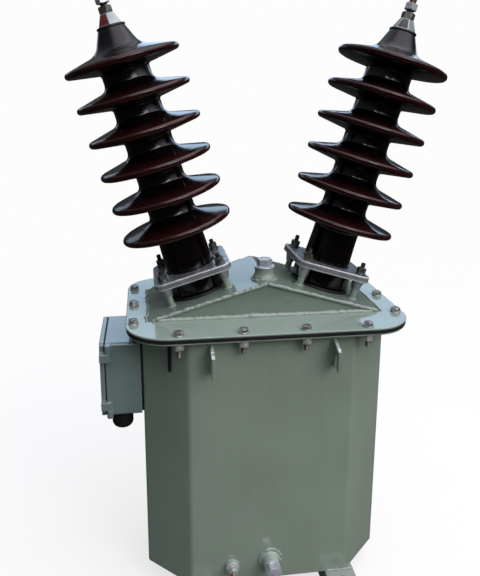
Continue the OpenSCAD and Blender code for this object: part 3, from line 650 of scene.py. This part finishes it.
# radius of the rounded edges that each solid has in reality
EDGE_ROUNDS = {
    1.4 * MM: ("lifting_hooks", "base_rails", "drain_stub", "earth_boss", *pair("clamp_flange")),
    0.6 * MM: ("terminal_box",),
    0.9 * MM: (
        "box_lid", "cover_plate", "tank_flange", "cover_gasket", *pair("terminal_cap"), *pair("cap_gasket"),
        *pair("base_gasket"), "terminal_board"),
}


def round_edges(node, radius):
    """Rounds the sharp edges of a solid without changing its mesh."""
    weld = node.modifiers.new("join seams", "WELD")
    weld.merge_threshold = SEAM
    flat = node.modifiers.new("join flat faces", "DECIMATE")
    flat.decimate_type = "DISSOLVE"
    flat.angle_limit = FLAT
    bevel = node.modifiers.new("round edges", "BEVEL")
    bevel.width = radius
    bevel.segments = ROUND_SEGMENTS
    bevel.limit_method = "ANGLE"
    bevel.angle_limit = SHARP
    bevel.use_clamp_overlap = False
    bevel.loop_slide = False


def finish_node(node, finish, radius):
    """Gives a solid its finish, its smooth shading and, where it has them, its rounded edges."""
    node.data.materials.clear()
    node.data.materials.append(finish)
    if radius:
        round_edges(node, radius)
    node.modifiers.new("smooth turned faces", "NODES").node_group = SMOOTHING
    if radius:
        node.modifiers.new("keep flats flat", "WEIGHTED_NORMAL").keep_sharp = True


ROUND_OF = {name: radius for radius, names in EDGE_ROUNDS.items() for name in names}
for finish, names in NODE_FINISHES.items():
    for name in names:
        finish_node(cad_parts[name], finish, ROUND_OF.get(name))


# mesh helpers

def linked(name, data):
    """New object in the scene."""
    made = bpy.data.objects.new(name, data)
    bpy.context.scene.collection.objects.link(made)
    return made


def mesh_from(name, bm, finish):
    mesh = bpy.data.meshes.new(name)
    bm.to_mesh(mesh)
    bm.free()
    mesh.materials.append(finish)
    return mesh


def piece(name, bm, finish, replaces=(), body=TRANSFORMER, sharp=35):
    """Turns a bmesh into a piece that rides on a body, smooth but for its real edges."""
    bmesh.ops.recalc_face_normals(bm, faces=bm.faces)
    mesh = mesh_from(name, bm, finish)
    mesh.shade_smooth()
    mesh.set_sharp_from_angle(angle=math.radians(sharp))
    made = linked(name, mesh)
    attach(made, body)
    if replaces:
        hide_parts(*replaces)
    return made


def shift(x=0.0, y=0.0, z=0.0):
    return Matrix.Translation((x, y, z))


def spun(turn):
    return Matrix.Rotation(turn, 4, "Z")


def along(point, direction):
    """Place at a point with its Z along a direction."""
    return Matrix.Translation(point) @ Vector(direction).to_track_quat("Z", "Y").to_matrix().to_4x4()


def on_roof(side):
    """Seat of a bushing on the roof, Z along the bushing."""
    return shift(side * BUSHING_X, 0, BUSHING_Z) @ Matrix.Rotation(side * SLOPE, 4, "Y")


def skin(bm, rings, closed=False):
    """Faces between rings of points, where a ring of one point is a pole."""
    pairs = list(zip(rings, rings[1:]))
    if closed:
        pairs.append((rings[-1], rings[0]))
    for low, high in pairs:
        count = max(len(low), len(high))
        for i in range(count):
            j = (i + 1) % count
            corners = [low[i % len(low)], low[j % len(low)], high[j % len(high)], high[i % len(high)]]
            corners = list(dict.fromkeys(corners))
            if len(corners) > 2:
                bm.faces.new(corners)


def loft(bm, rings):
    """Faces between rings, with a face over each end."""
    skin(bm, rings)
    bm.faces.new(rings[0])
    bm.faces.new(rings[-1])


def on_circle(radius, turn, height=0.0):
    return Vector((radius * math.cos(turn), radius * math.sin(turn), height))


def turned(bm, place, profile, steps=32, closed=False):
    """Spins a profile of (radius, height) points about the place's Z."""
    rings = []
    for radius, height in profile:
        count = 1 if radius == 0 else steps
        rings.append([
            bm.verts.new(place @ on_circle(radius, TURN * i / count, height)) for i in range(count)])
    skin(bm, rings, closed)


def washer(bm, place, radius, thickness, bore):
    nick = thickness * WASHER_NICK
    turned(bm, place, [
        (bore, 0), (radius - nick, 0), (radius, nick), (radius, thickness - nick),
        (radius - nick, thickness), (bore, thickness)], closed=True)


def spring_washer(bm, place, radius, thickness, bore, steps=36):
    """Split ring whose ends stand a little apart."""
    rings = []
    for i in range(steps + 1):
        turn = TURN * (SPRING_GAP / 2 + (1 - SPRING_GAP) * i / steps)
        rise = thickness * SPRING_RISE * (i / steps - 0.5)
        out = Vector((math.cos(turn), math.sin(turn), 0))
        rings.append([
            bm.verts.new(place @ (out * r + Vector((0, 0, h + rise))))
            for r, h in ((bore, 0), (radius, 0), (radius, thickness), (bore, thickness))])
    loft(bm, rings)


def hexagon(bm, place, flats, height, nut=False):
    """Hexagon whose corners are turned off by a cone at the top, and at the bottom too for a nut."""
    half = flats / 2
    face = half * HEX_FACE

    def ring(radius_at, height_at):
        made = []
        for i in range(HEX_STEPS):
            turn = TURN * i / HEX_STEPS
            reach = half / math.cos((turn + math.pi / 6) % (math.pi / 3) - math.pi / 6)
            radius = reach if radius_at is None else radius_at
            made.append(bm.verts.new(place @ on_circle(radius, turn, height_at(reach))))
        return made

    def pole(z):
        return [bm.verts.new(place @ Vector((0, 0, z)))]

    def fall(reach):
        return (reach - face) * HEX_CONE

    rings = [pole(0)]
    if nut:
        rings += [ring(face, lambda reach: 0.0), ring(None, fall)]
    else:
        rings += [ring(None, lambda reach: 0.0)]
    rings += [ring(None, lambda reach: height - fall(reach)), ring(face, lambda reach: height), pole(height)]
    skin(bm, rings)


def threaded(bm, place, radius, length, pitch, steps=20, rows_per_turn=5):
    """Rod with a real helical thread and a chamfered end."""
    rows = max(4, round(length / pitch * rows_per_turn))
    depth = pitch * THREAD_DEPTH
    rings = [[bm.verts.new(place @ Vector((0, 0, 0)))]]
    for k in range(rows + 1):
        height = length * k / rows
        ring = []
        for i in range(steps):
            phase = (height / pitch - i / steps) % 1
            crest = abs(2 * phase - 1)
            reach = radius - depth * (1 - crest) - max(0, height - length + pitch)
            ring.append(bm.verts.new(place @ on_circle(reach, TURN * i / steps, height)))
        rings.append(ring)
    rings.append([bm.verts.new(place @ Vector((0, 0, length)))])
    skin(bm, rings)


def resampled(path, step):
    """Points at an even step along a path."""
    made = []
    for a, b in zip(path, path[1:]):
        count = max(1, round((b - a).length / step))
        made += [a.lerp(b, i / count) for i in range(count)]
    return made + [path[-1]]


def bead(bm, path, radius, ripple=2.4 * MM, rough=0.16, depth=0.2, seed=0, sides=10):
    """Weld bead along a path, with ripples pushed one way and an uneven width."""
    points = resampled([Vector(p) for p in path], ripple / BEAD_ROWS)
    last = len(points) - 1
    rings = []
    for k, point in enumerate(points):
        ahead = points[min(k + 1, last)] - points[max(k - 1, 0)]
        tangent = ahead.normalized()
        side = tangent.cross(BEAD_ACROSS).normalized()
        over = side.cross(tangent)
        stage = (k % BEAD_ROWS) / BEAD_ROWS
        where = point * BEAD_NOISE + Vector((seed * BEAD_NOISE_STEP, 0, 0))
        width = 1 + depth * (BEAD_CREST - stage) + rough * noise.noise(where)
        ends = min(1.0, (min(k, last - k) + BEAD_END) / BEAD_END_ROWS)
        drift = side * noise.noise(where + BEAD_NOISE_AWAY) + over * noise.noise(where)
        middle = point + drift * radius * rough
        reach = radius * width * ends
        rings.append([
            bm.verts.new(middle + (side * math.cos(t) + over * math.sin(t)) * reach)
            for t in (TURN * i / sides for i in range(sides))])
    rings.insert(0, [bm.verts.new(points[0])])
    rings.append([bm.verts.new(points[-1])])
    skin(bm, rings)


def circle_path(place, radius, steps=40):
    return [place @ on_circle(radius, TURN * i / steps) for i in range(steps + 1)]


# bolts of the cover

def cover_bolt_spots():
    for y in (COVER_LOW.y + BOLT_INSET, COVER_HIGH.y - BOLT_INSET):
        for x in FRONT_BOLT_XS:
            yield x, y
    for x in (COVER_LOW.x + BOLT_INSET, COVER_HIGH.x - BOLT_INSET):
        for y in SIDE_BOLT_YS:
            yield x, y


def nut_on_thread(nuts, ends, seat, nut_height, thread):
    """Washer, spring washer and nut on a seat, and the threaded end that stands through the nut."""
    washer(nuts, seat, WASHER_R, WASHER_T, BOLT_R)
    spring_washer(nuts, seat @ shift(z=WASHER_T), SPRING_R, SPRING_T, BOLT_R)
    hexagon(nuts, seat @ shift(z=NUT_LOW), BOLT_FLATS, nut_height, nut=True)
    threaded(ends, seat @ shift(z=NUT_LOW), BOLT_R, thread, BOLT_PITCH)


def make_cover_bolts():
    draw = random.Random(BOLT_SEED)
    heads, nuts, ends = bmesh.new(), bmesh.new(), bmesh.new()
    for x, y in cover_bolt_spots():
        top = shift(x, y, COVER_TOP) @ spun(draw.uniform(0, TURN))
        washer(heads, top, WASHER_R, WASHER_T, BOLT_R)
        hexagon(heads, top @ shift(z=WASHER_T), BOLT_FLATS, BOLT_HEAD)
        under = shift(x, y, FLANGE_LOW) @ spun(draw.uniform(0, TURN)) @ Matrix.Rotation(math.pi, 4, "X")
        past = draw.uniform(*BOLT_PAST_SHARES) * BOLT_PAST_NUT
        nut_on_thread(nuts, ends, under, NUT_HEIGHT, NUT_HEIGHT + past)
    piece("cover_bolt_heads", heads, bolt_steel)
    piece("cover_bolt_nuts", nuts, nut_zinc)
    piece("cover_bolt_ends", ends, stud_steel)


def clamp_stud_spots():
    for x in (-CLAMP_STUD_AT, CLAMP_STUD_AT):
        for y in (-CLAMP_STUD_AT, CLAMP_STUD_AT):
            yield x, y


def make_clamp_nuts(side, name):
    draw = random.Random(CLAMP_SEED + side)
    nuts, ends = bmesh.new(), bmesh.new()
    for x, y in clamp_stud_spots():
        seat = on_roof(side) @ shift(x, y, CLAMP_TOP) @ spun(draw.uniform(0, TURN))
        end = CLAMP_STUD_END + draw.uniform(*CLAMP_END_SPREAD) * MM
        nut_on_thread(nuts, ends, seat, CLAMP_NUT, end - NUT_LOW)
    piece(name + "_clamp_nuts", nuts, clamp_steel)
    piece(name + "_clamp_stud_ends", ends, dark_steel)


# terminals on the bushings

def make_terminal(side, name, patch):
    seat = on_roof(side)
    nuts = bmesh.new()
    for height, turn in ((CAP_TOP, LOWER_NUT_TURN), (UPPER_NUT, UPPER_NUT_TURN)):
        hexagon(nuts, seat @ shift(z=height) @ spun(turn), TERMINAL_FLATS, TERMINAL_NUT, nut=True)
    made = piece(name + "_terminal_hex_nuts", nuts, plated_steel, [name + "_terminal_nuts"])
    made.data.materials.append(clamp_steel)
    for face in made.data.polygons:
        low = (seat.inverted() @ face.center).z < UPPER_NUT - MM
        face.material_index = 1 if low else 0
    stud = bmesh.new()
    root = seat @ shift(z=TERMINAL_ROOT)
    threaded(stud, root, TERMINAL_R, TERMINAL_END - TERMINAL_ROOT, TERMINAL_PITCH, steps=28)
    piece(name + "_terminal_thread", stud, stud_brass, [name + "_terminal_stud"])
    make_cap_patch(side, name, patch)


def make_cap_patch(side, name, finish):
    """Plain colour patch on the cap face that looks forward and left."""
    height = CAP_TOP - CAP_LOW
    lean = math.atan((CAP_LOW_FLATS - CAP_TOP_FLATS) / 2 / height)
    slant = height / math.cos(lean)
    face = on_roof(side) @ shift(z=CAP_LOW) @ spun(PATCH_TURN) @ shift(x=CAP_LOW_FLATS / 2)
    face = face @ Matrix.Rotation(-lean, 4, "Y")
    bm = bmesh.new()
    rings = []
    for rise, inset in ((PATCH_ROOT, 0.0), (PATCH_EDGE, 0.0), (PATCH_T, PATCH_NICK)):
        low, high = PATCH_FROM_FOOT + inset, slant - PATCH_FROM_TOP - inset
        ring = []
        for t, w in ((low, -1), (low, 1), (high, 1), (high, -1)):
            flats = CAP_LOW_FLATS + (CAP_TOP_FLATS - CAP_LOW_FLATS) * t / slant
            half = flats / 2 * math.tan(math.pi / 6) - PATCH_FROM_SIDE - inset
            ring.append(bm.verts.new(face @ Vector((rise, w * half, t))))
        rings.append(ring)
    loft(bm, rings)
    piece(name + "_cap_patch", bm, finish)


# filler, drain and earth fittings

def make_filler_plug():
    """Plug on the ridge: a collar with a hexagon on it and a shank in the boss."""
    bm = bmesh.new()
    collar, thick, nick = FILLER_PLUG_HIGH.x, FILLER_COLLAR_T, FILLER_COLLAR_NICK
    seat = shift(0, FILLER_Y, FILLER_BOSS_HIGH.z)
    turned(bm, seat, [
        (0, 0), (collar - nick, 0), (collar, nick), (collar, thick - nick), (collar - nick, thick),
        (0, thick)], steps=48)
    head = FILLER_PLUG_HIGH.z - FILLER_BOSS_HIGH.z - thick
    hexagon(bm, seat @ shift(z=thick) @ spun(FILLER_HEX_TURN), PLUG_FLATS, head)
    shank = FILLER_SHANK + TOUCH
    turned(bm, seat @ shift(z=-FILLER_SHANK), [(0, 0), (PLUG_SHANK_R, 0), (PLUG_SHANK_R, shank), (0, shank)])
    piece("filler_plug_head", bm, plated_steel, ["filler_plug"])


def make_drain_plug():
    """Plug in the drain stub: a rim with a hexagon on it and a shank in the bore."""
    bm = bmesh.new()
    rim, thick, nick = DRAIN_RIM_R, DRAIN_RIM_T, DRAIN_RIM_NICK
    seat = along((0, DRAIN_STUB_LOW.y, DRAIN_Z), (0, -1, 0))
    turned(bm, seat, [
        (0, -DRAIN_SHANK), (PLUG_SHANK_R, -DRAIN_SHANK), (PLUG_SHANK_R, 0), (rim - nick, 0), (rim, nick),
        (rim, thick), (0, thick)], steps=40)
    head = DRAIN_STUB_LOW.y - DRAIN_LOW.y - thick
    hexagon(bm, seat @ shift(z=thick) @ spun(DRAIN_HEX_TURN), PLUG_FLATS, head)
    piece("drain_plug_head", bm, plated_steel, ["drain_plug"])


def make_earth_bolt():
    """Earth stud with a washer, a spring washer and a nut on its boss."""
    seat = along((EARTH_X, FRONT, EARTH_Z), (0, -1, 0))
    boss = FRONT - EARTH_BOSS_LOW.y
    nut = bmesh.new()
    washer(nut, seat @ shift(z=boss), WASHER_R, WASHER_T, EARTH_R)
    spring_washer(nut, seat @ shift(z=boss + WASHER_T), EARTH_SPRING_R, SPRING_T, EARTH_R)
    hexagon(nut, seat @ shift(z=boss + NUT_LOW) @ spun(EARTH_HEX_TURN), EARTH_FLATS, NUT_HEIGHT, nut=True)
    piece("earth_nut", nut, nut_zinc)
    stud = bmesh.new()
    root = boss / 2
    threaded(stud, seat @ shift(z=root), EARTH_R, FRONT - EARTH_LOW.y - root, EARTH_PITCH)
    piece("earth_thread", stud, dull_brass, ["earth_stud"])


def make_flange_strap():
    """Black strap that hangs from the flange in front of the left chamfer."""
    bm = bmesh.new()
    half = STRAP_WIDTH / 2
    turns = [math.pi * (1 + i / STRAP_END_STEPS) for i in range(STRAP_END_STEPS + 1)]
    round_end = [(half * math.cos(t), half * math.sin(t)) for t in turns]
    seat = shift(STRAP_X, STRAP_Y, FLANGE_LOW - STRAP_LENGTH + half) @ spun(-math.pi / 4)
    outline = [(-half, STRAP_LENGTH - half)] + round_end + [(half, STRAP_LENGTH - half)]
    rings = []
    for y, inset in ((-1, STRAP_FACE), (-STRAP_SIDE, 1.0), (STRAP_SIDE, 1.0), (1, STRAP_FACE)):
        rings.append([
            bm.verts.new(seat @ Vector((x * inset, y * STRAP_T / 2, z if z > 0 else z * inset)))
            for x, z in outline])
    loft(bm, rings)
    piece("flange_strap", bm, black_rubber)


# terminal box

def make_gland():
    """Black cable gland: a hexagon under the box, then a fluted dome nut round the cable's bore."""
    middle = (GLAND_LOW + GLAND_HIGH) / 2
    seat = along((middle.x, middle.y, GLAND_HIGH.z), (0, 0, -1))
    length = GLAND_HIGH.z - GLAND_LOW.z
    reach = (GLAND_HIGH.x - GLAND_LOW.x) / 2
    tuck = GLAND_NECK * GLAND_NECK_TUCK
    side, dome = reach * GLAND_DOME_SHARE, GLAND_DOME
    bm = bmesh.new()
    hexagon(bm, seat, 2 * reach * math.cos(math.pi / 6), GLAND_NECK)
    turns = [math.pi / 2 * i / GLAND_DOME_STEPS for i in range(1, GLAND_DOME_STEPS + 1)]
    profile = [(reach * GLAND_FOOT_SHARE, tuck), (side, GLAND_NECK + GLAND_CHAMFER), (side, length - dome)]
    profile += [(side - dome + dome * math.cos(t), length - dome + dome * math.sin(t)) for t in turns]
    profile += [(GLAND_BORE, length), (GLAND_BORE, tuck)]
    rings = []
    for row, (radius, height) in enumerate(profile):
        ring = []
        for i in range(GLAND_STEPS):
            turn = TURN * i / GLAND_STEPS
            dip = 0.0
            if row in GLAND_FLUTE_ROWS:
                dip = GLAND_FLUTE_DEPTH * max(0, math.cos(GLAND_FLUTES * turn))
            ring.append(bm.verts.new(seat @ on_circle(radius - dip, turn, height)))
        rings.append(ring)
    skin(bm, rings, closed=True)
    piece("cable_gland_dome", bm, black_rubber, ["cable_gland"])


def make_secondary_terminals():
    """Threaded terminals on the board, each with a washer and two nuts."""
    low, high = STUDS_LOW, STUDS_HIGH
    bm = bmesh.new()
    for y in (low.y + STUD_R, (low.y + high.y) / 2, high.y - STUD_R):
        for z in (low.z + STUD_R, high.z - STUD_R):
            seat = along((high.x, y, z), (-1, 0, 0))
            threaded(bm, seat, STUD_R, high.x - low.x, STUD_PITCH, steps=16)
            washer(bm, seat, STUD_WASHER_R, STUD_WASHER_T, STUD_R)
            for nut_low in (STUD_WASHER_T, STUD_OUTER_NUT):
                hexagon(bm, seat @ shift(z=nut_low), STUD_FLATS, STUD_NUT, nut=True)
    piece("secondary_terminals", bm, stud_brass, ["secondary_studs"])


def make_lid_screws():
    """Captive screws along the free edge of the lid."""
    bm = bmesh.new()
    for z in (LID_LOW.z + SCREW_FROM_END, LID_HIGH.z - SCREW_FROM_END):
        seat = along((LID_LOW.x, LID_HIGH.y - SCREW_FROM_SIDE, z), (-1, 0, 0))
        turned(bm, seat, SCREW_PROFILE, steps=28)
    piece("lid_screws", bm, plated_steel, body=LID)


# welds

def foot_bead(bm, x, radius, stray):
    """Weld at a foot of the roof, laid in short lengths that stray to both sides of the line."""
    draw = random.Random(FOOT_SEED)
    y = ROOF_LOW.y
    while y < ROOF_HIGH.y - FOOT_LENGTH:
        length = draw.uniform(*FOOT_LENGTH_SHARES) * FOOT_LENGTH
        off = draw.uniform(-stray, stray)
        turn = draw.uniform(-stray, stray)
        z = COVER_TOP + WELD_SINK
        path = [(x + off, y, z), (x + off + turn, y + length, z)]
        width = radius * draw.uniform(*FOOT_WIDTH_SHARES)
        bead(bm, path, width, ripple=3 * MM, rough=0.4, seed=y * 1000)
        y += length * draw.uniform(*FOOT_STEP_SHARES)


def weld_roof(bm):
    """Beads down the roof's ends and along the feet of the gables, with a broad lump on each foot."""
    for end, front in enumerate((-1, 1)):
        seed = 3 * end
        y = front * (ROOF_HIGH.y - WELD_SINK)
        ridge = Vector((0, y, COVER_TOP + ROOF_RISE - ROOF_SHEET / 2 / math.cos(SLOPE) - WELD_SINK))
        for way, side in enumerate((-1, 1)):
            foot = Vector((side * (ROOF_HALF - EAVE_IN), y, COVER_TOP + EAVE_LIFT))
            bead(bm, [ridge, foot], EAVE_WELD_R, ripple=3.2 * MM, rough=0.3, seed=seed + way)
        y = front * (GABLE_HIGH.y + WELD_SINK)
        reach = GABLE_HIGH.x + GABLE_WELD_PAST
        path = [(-reach, y, COVER_TOP + WELD_SINK), (reach, y, COVER_TOP + WELD_SINK)]
        bead(bm, path, GABLE_WELD_R, ripple=9 * MM, rough=0.18, depth=0.06, seed=seed + 2, sides=16)
        start = (LUMP_X - LUMP_HALF, y, COVER_TOP + LUMP_LIFT)
        stop = (LUMP_X + LUMP_HALF, y, COVER_TOP + LUMP_END_LIFT)
        lump = seed + LUMP_SEED
        bead(bm, [start, stop], LUMP_R, ripple=12 * MM, rough=0.2, depth=0.08, seed=lump, sides=16)
    foot_bead(bm, ROOF_HALF + RIGHT_FOOT_OUT, RIGHT_FOOT_R, RIGHT_FOOT_STRAY)
    foot_bead(bm, -ROOF_HALF - LEFT_FOOT_OUT, LEFT_FOOT_R, LEFT_FOOT_STRAY)


def weld_posts(bm, seed):
    for side in (-1, 1):
        for x, y in clamp_stud_spots():
            foot = on_roof(side) @ shift(x, y, POST_WELD_LIFT)
            ring = circle_path(foot, POST_R + WELD_SINK, POST_WELD_STEPS)
            bead(bm, ring, POST_WELD_R, rough=0.35, seed=seed)
            seed += 1


def weld_filler(bm, seed):
    """Bead round the filler boss, which follows the roof over the ridge."""
    foot = []
    for i in range(FILLER_WELD_STEPS + 1):
        turn = TURN * i / FILLER_WELD_STEPS
        x = FILLER_FOOT_R * math.cos(turn)
        height = ROOF_RISE - max(abs(x), RIDGE_FLAT) * math.tan(SLOPE)
        foot.append((x, FILLER_Y + FILLER_FOOT_R * math.sin(turn), COVER_TOP + height))
    bead(bm, foot, FILLER_WELD_R, ripple=5 * MM, rough=0.4, seed=seed)


def weld_hooks(bm, seed):
    low, high = HOOK_LOW.z + HOOK_WELD_SHORT, HOOK_HIGH.z - HOOK_WELD_SHORT
    for x in (-HOOK_X, HOOK_X):
        for y in (FRONT, REAR):
            for edge in (-HOOK_T / 2, HOOK_T / 2):
                bead(bm, [(x + edge, y, low), (x + edge, y, high)], HOOK_WELD_R, rough=0.35, seed=seed)
                seed += 1


def weld_fittings(bm, seed):
    drain = along((0, FRONT - DRAIN_WELD_OUT, DRAIN_Z), (0, -1, 0))
    ring = circle_path(drain, DRAIN_STUB_HIGH.x)
    bead(bm, ring, DRAIN_WELD_R, ripple=6 * MM, rough=0.3, depth=0.1, seed=seed, sides=14)
    earth = along((EARTH_X, FRONT - EARTH_WELD_OUT, EARTH_Z), (0, -1, 0))
    ring = circle_path(earth, EARTH_BOSS_HIGH.x - EARTH_X)
    bead(bm, ring, EARTH_WELD_R, ripple=5 * MM, rough=0.35, depth=0.1, seed=seed + 1)


def weld_rails(bm, seed):
    z = RAIL_HIGH.z + RAIL_WELD_AT
    for side in (-1, 1):
        x_out = side * RAIL_HIGH.x
        x_in = side * (RAIL_HIGH.x - RAIL_WIDTH)
        for y in (FRONT + RAIL_WELD_AT, REAR - RAIL_WELD_AT):
            path = [(x_in, y, z), (x_out, y, z)]
            bead(bm, path, RAIL_WELD_R, ripple=6 * MM, rough=0.3, depth=0.1, seed=seed)
            seed += 1


def make_welds():
    bm = bmesh.new()
    weld_roof(bm)
    weld_posts(bm, seed=6)
    weld_filler(bm, seed=14)
    weld_hooks(bm, seed=14)
    weld_fittings(bm, seed=22)
    weld_rails(bm, seed=24)
    piece("weld_beads", bm, weld_enamel_with_highlight, sharp=60)


# build

make_cover_bolts()
make_clamp_nuts(-1, "left")
make_clamp_nuts(1, "right")
make_terminal(-1, "left", red_patch)
make_terminal(1, "right", grey_patch)
make_filler_plug()
make_drain_plug()
make_earth_bolt()
make_flange_strap()
make_gland()
make_secondary_terminals()
make_lid_screws()
make_welds()


# floor, light and camera
FLOOR_R = 30.0
FLOOR_FADE = (0.7, 2.2)
FLOOR_PALE = (0.25, 0.25, 0.24, 1)
FLOOR_SHADE = (0.23, 0.23, 0.22, 1)
FLOOR_GLOW = (0.72, 0.72, 0.72, 1)
BACKDROP = (0.98, 0.98, 0.98, 1)
SKY_LOW = (0.03, 0.03, 0.028, 1)
SKY_HIGH = (0.3, 0.33, 0.37, 1)
SKY_GLOW = (2.22, 2.12, 2.42, 1)
GLOW_AXIS = (0.36, -0.36, 0.86)
GLOW_EDGE = math.cos(math.radians(58))
GLOW_CORE = math.cos(math.radians(12))
BLACK = (0, 0, 0, 1)
BACK_PANEL_Y = 3.6
CAMERA_YAW = math.radians(8.418)
CAMERA_PITCH = math.radians(13.206)
CAMERA_ROLL = math.radians(0.242)
CAMERA_PLACE = (-188.391 * MM, -1049.147 * MM, 840.898 * MM)
CAMERA_LENS = 40.164
CAMERA_SENSOR = 36
PHOTO_HEIGHT = 576
PHOTO_SHIFT = -48


def make_floor():
    """Pale floor that fades into the plain backdrop well away from the object."""
    bm = bmesh.new()
    turned(bm, shift(), [(0, 0), (FLOOR_R, 0)], steps=64)
    finish = bpy.data.materials.new("pale_floor")
    finish.use_nodes = True
    tree = finish.node_tree
    shader = tree.nodes["Principled BSDF"]
    where = add(tree, "ShaderNodeTexCoord").outputs["Object"]
    away = add(tree, "ShaderNodeVectorMath", {0: where}, operation="LENGTH").outputs["Value"]
    far = span(tree, away, *FLOOR_FADE)
    patches = place_effect(tree, MOTTLE, Scale=3.0, Contrast=0.6)
    pale = blend(tree, patches, FLOOR_PALE, FLOOR_SHADE)
    tree.links.new(blend(tree, far, pale, BLACK), shader.inputs["Base Color"])
    seen = add(tree, "ShaderNodeLightPath").outputs["Is Camera Ray"]
    glow = blend(tree, seen, BLACK, blend(tree, far, FLOOR_GLOW, BACKDROP))
    tree.links.new(glow, shader.inputs["Emission Color"])
    shader.inputs["Emission Strength"].default_value = 1.0
    shader.inputs["Specular IOR Level"].default_value = 0.0
    shader.inputs["Roughness"].default_value = 0.9
    floor = linked("floor", mesh_from("floor", bm, finish))
    floor.visible_glossy = False


def make_sky():
    """Dim surroundings with a soft glow overhead, behind a plain white backdrop."""
    world = bpy.data.worlds.new("studio")
    bpy.context.scene.world = world
    world.use_nodes = True
    tree = world.node_tree
    dim = tree.nodes["Background"]
    where = add(tree, "ShaderNodeTexCoord").outputs["Generated"]
    height = add(tree, "ShaderNodeSeparateXYZ", {0: where}).outputs["Z"]
    sky = blend(tree, span(tree, height, 0.0, 1.0), SKY_LOW, SKY_HIGH)
    meet = add(tree, "ShaderNodeVectorMath", {0: where, 1: GLOW_AXIS}, operation="DOT_PRODUCT")
    inputs = {"Value": meet.outputs["Value"], "From Min": GLOW_EDGE, "From Max": GLOW_CORE}
    glow = add(tree, "ShaderNodeMapRange", inputs, interpolation_type="SMOOTHSTEP").outputs["Result"]
    tree.links.new(blend(tree, glow, sky, SKY_GLOW), dim.inputs["Color"])
    plain = add(tree, "ShaderNodeBackground", {"Color": BACKDROP, "Strength": 1.0})
    seen = add(tree, "ShaderNodeLightPath").outputs["Is Camera Ray"]
    both = add(tree, "ShaderNodeMixShader", {0: seen, 1: dim.outputs[0], 2: plain.outputs[0]})
    tree.links.new(both.outputs[0], tree.nodes["World Output"].inputs["Surface"])


def make_light(name, place, aim, size, power, colour, glossy=True, diffuse=True):
    """Soft panel that no camera sees, turned from its place towards its aim."""
    light = bpy.data.lights.new(name, "AREA")
    light.shape = "RECTANGLE"
    light.size, light.size_y = size
    light.energy = power
    light.color = colour
    made = linked(name, light)
    made.location = place
    made.rotation_mode = "QUATERNION"
    made.rotation_quaternion = (Vector(aim) - Vector(place)).to_track_quat("-Z", "Y")
    made.visible_camera = False
    made.visible_glossy = glossy
    made.visible_diffuse = diffuse


def make_back_panel(name, x, height, size, power, colour):
    """Upright panel far behind the object, which its glossy paint mirrors."""
    make_light(name, (x, BACK_PANEL_Y, height), (x, 0, height), size, power, colour)


def make_lights():
    make_light("overhead", place=(0.2, 1.0, 2.9), aim=(0, 0, 0.5), size=(2.6, 2.2), power=9,
               colour=(0.95, 0.97, 1.0))
    make_back_panel("back_panel", 0.22, 1.85, size=(1.75, 0.86), power=8.3, colour=(0.52, 0.74, 1.0))
    make_back_panel("back_left_panel", -2.3, 1.78, size=(2.0, 0.85), power=4.2, colour=(0.64, 0.75, 1.0))
    make_back_panel("back_right_panel", 2.7, 2.05, size=(3.2, 1.1), power=18.5, colour=(0.52, 0.72, 1.0))
    make_light("front_fill", place=(1.9, -2.2, 1.9), aim=(0, 0, 0.4), size=(1.8, 1.8), power=29,
               colour=(1.0, 0.97, 0.92), glossy=False)
    make_light("front_glint", place=(1.0, -2.35, 1.83), aim=(0, 0, 0.4), size=(1.0, 0.8), power=7,
               colour=(0.9, 0.95, 1.0))
    make_light("rim_glint", place=(0.4, -2.4, 2.1), aim=(0, 0, 0.6), size=(2.6, 0.35), power=14,
               colour=(0.95, 0.95, 1.0), diffuse=False)


def make_camera():
    """Camera where the photograph was taken from."""
    yaw, pitch, roll = CAMERA_YAW, CAMERA_PITCH, CAMERA_ROLL
    ahead = Vector((math.sin(yaw) * math.cos(pitch), math.cos(yaw) * math.cos(pitch), -math.sin(pitch)))
    level = Vector((math.cos(yaw), -math.sin(yaw), 0))
    over = level.cross(ahead)
    right = level * math.cos(roll) + over * math.sin(roll)
    up = over * math.cos(roll) - level * math.sin(roll)
    camera = linked("camera", bpy.data.cameras.new("camera"))
    turn = Matrix((right, up, -ahead)).transposed().to_4x4()
    camera.matrix_world = Matrix.Translation(CAMERA_PLACE) @ turn
    camera.data.sensor_width = CAMERA_SENSOR
    camera.data.lens = CAMERA_LENS
    camera.data.shift_y = PHOTO_SHIFT / PHOTO_HEIGHT
    camera.data.clip_start, camera.data.clip_end = 0.01, 100
    bpy.context.scene.camera = camera


make_floor()
make_sky()
make_lights()
make_camera()
bpy.context.scene.view_settings.view_transform = "Standard"
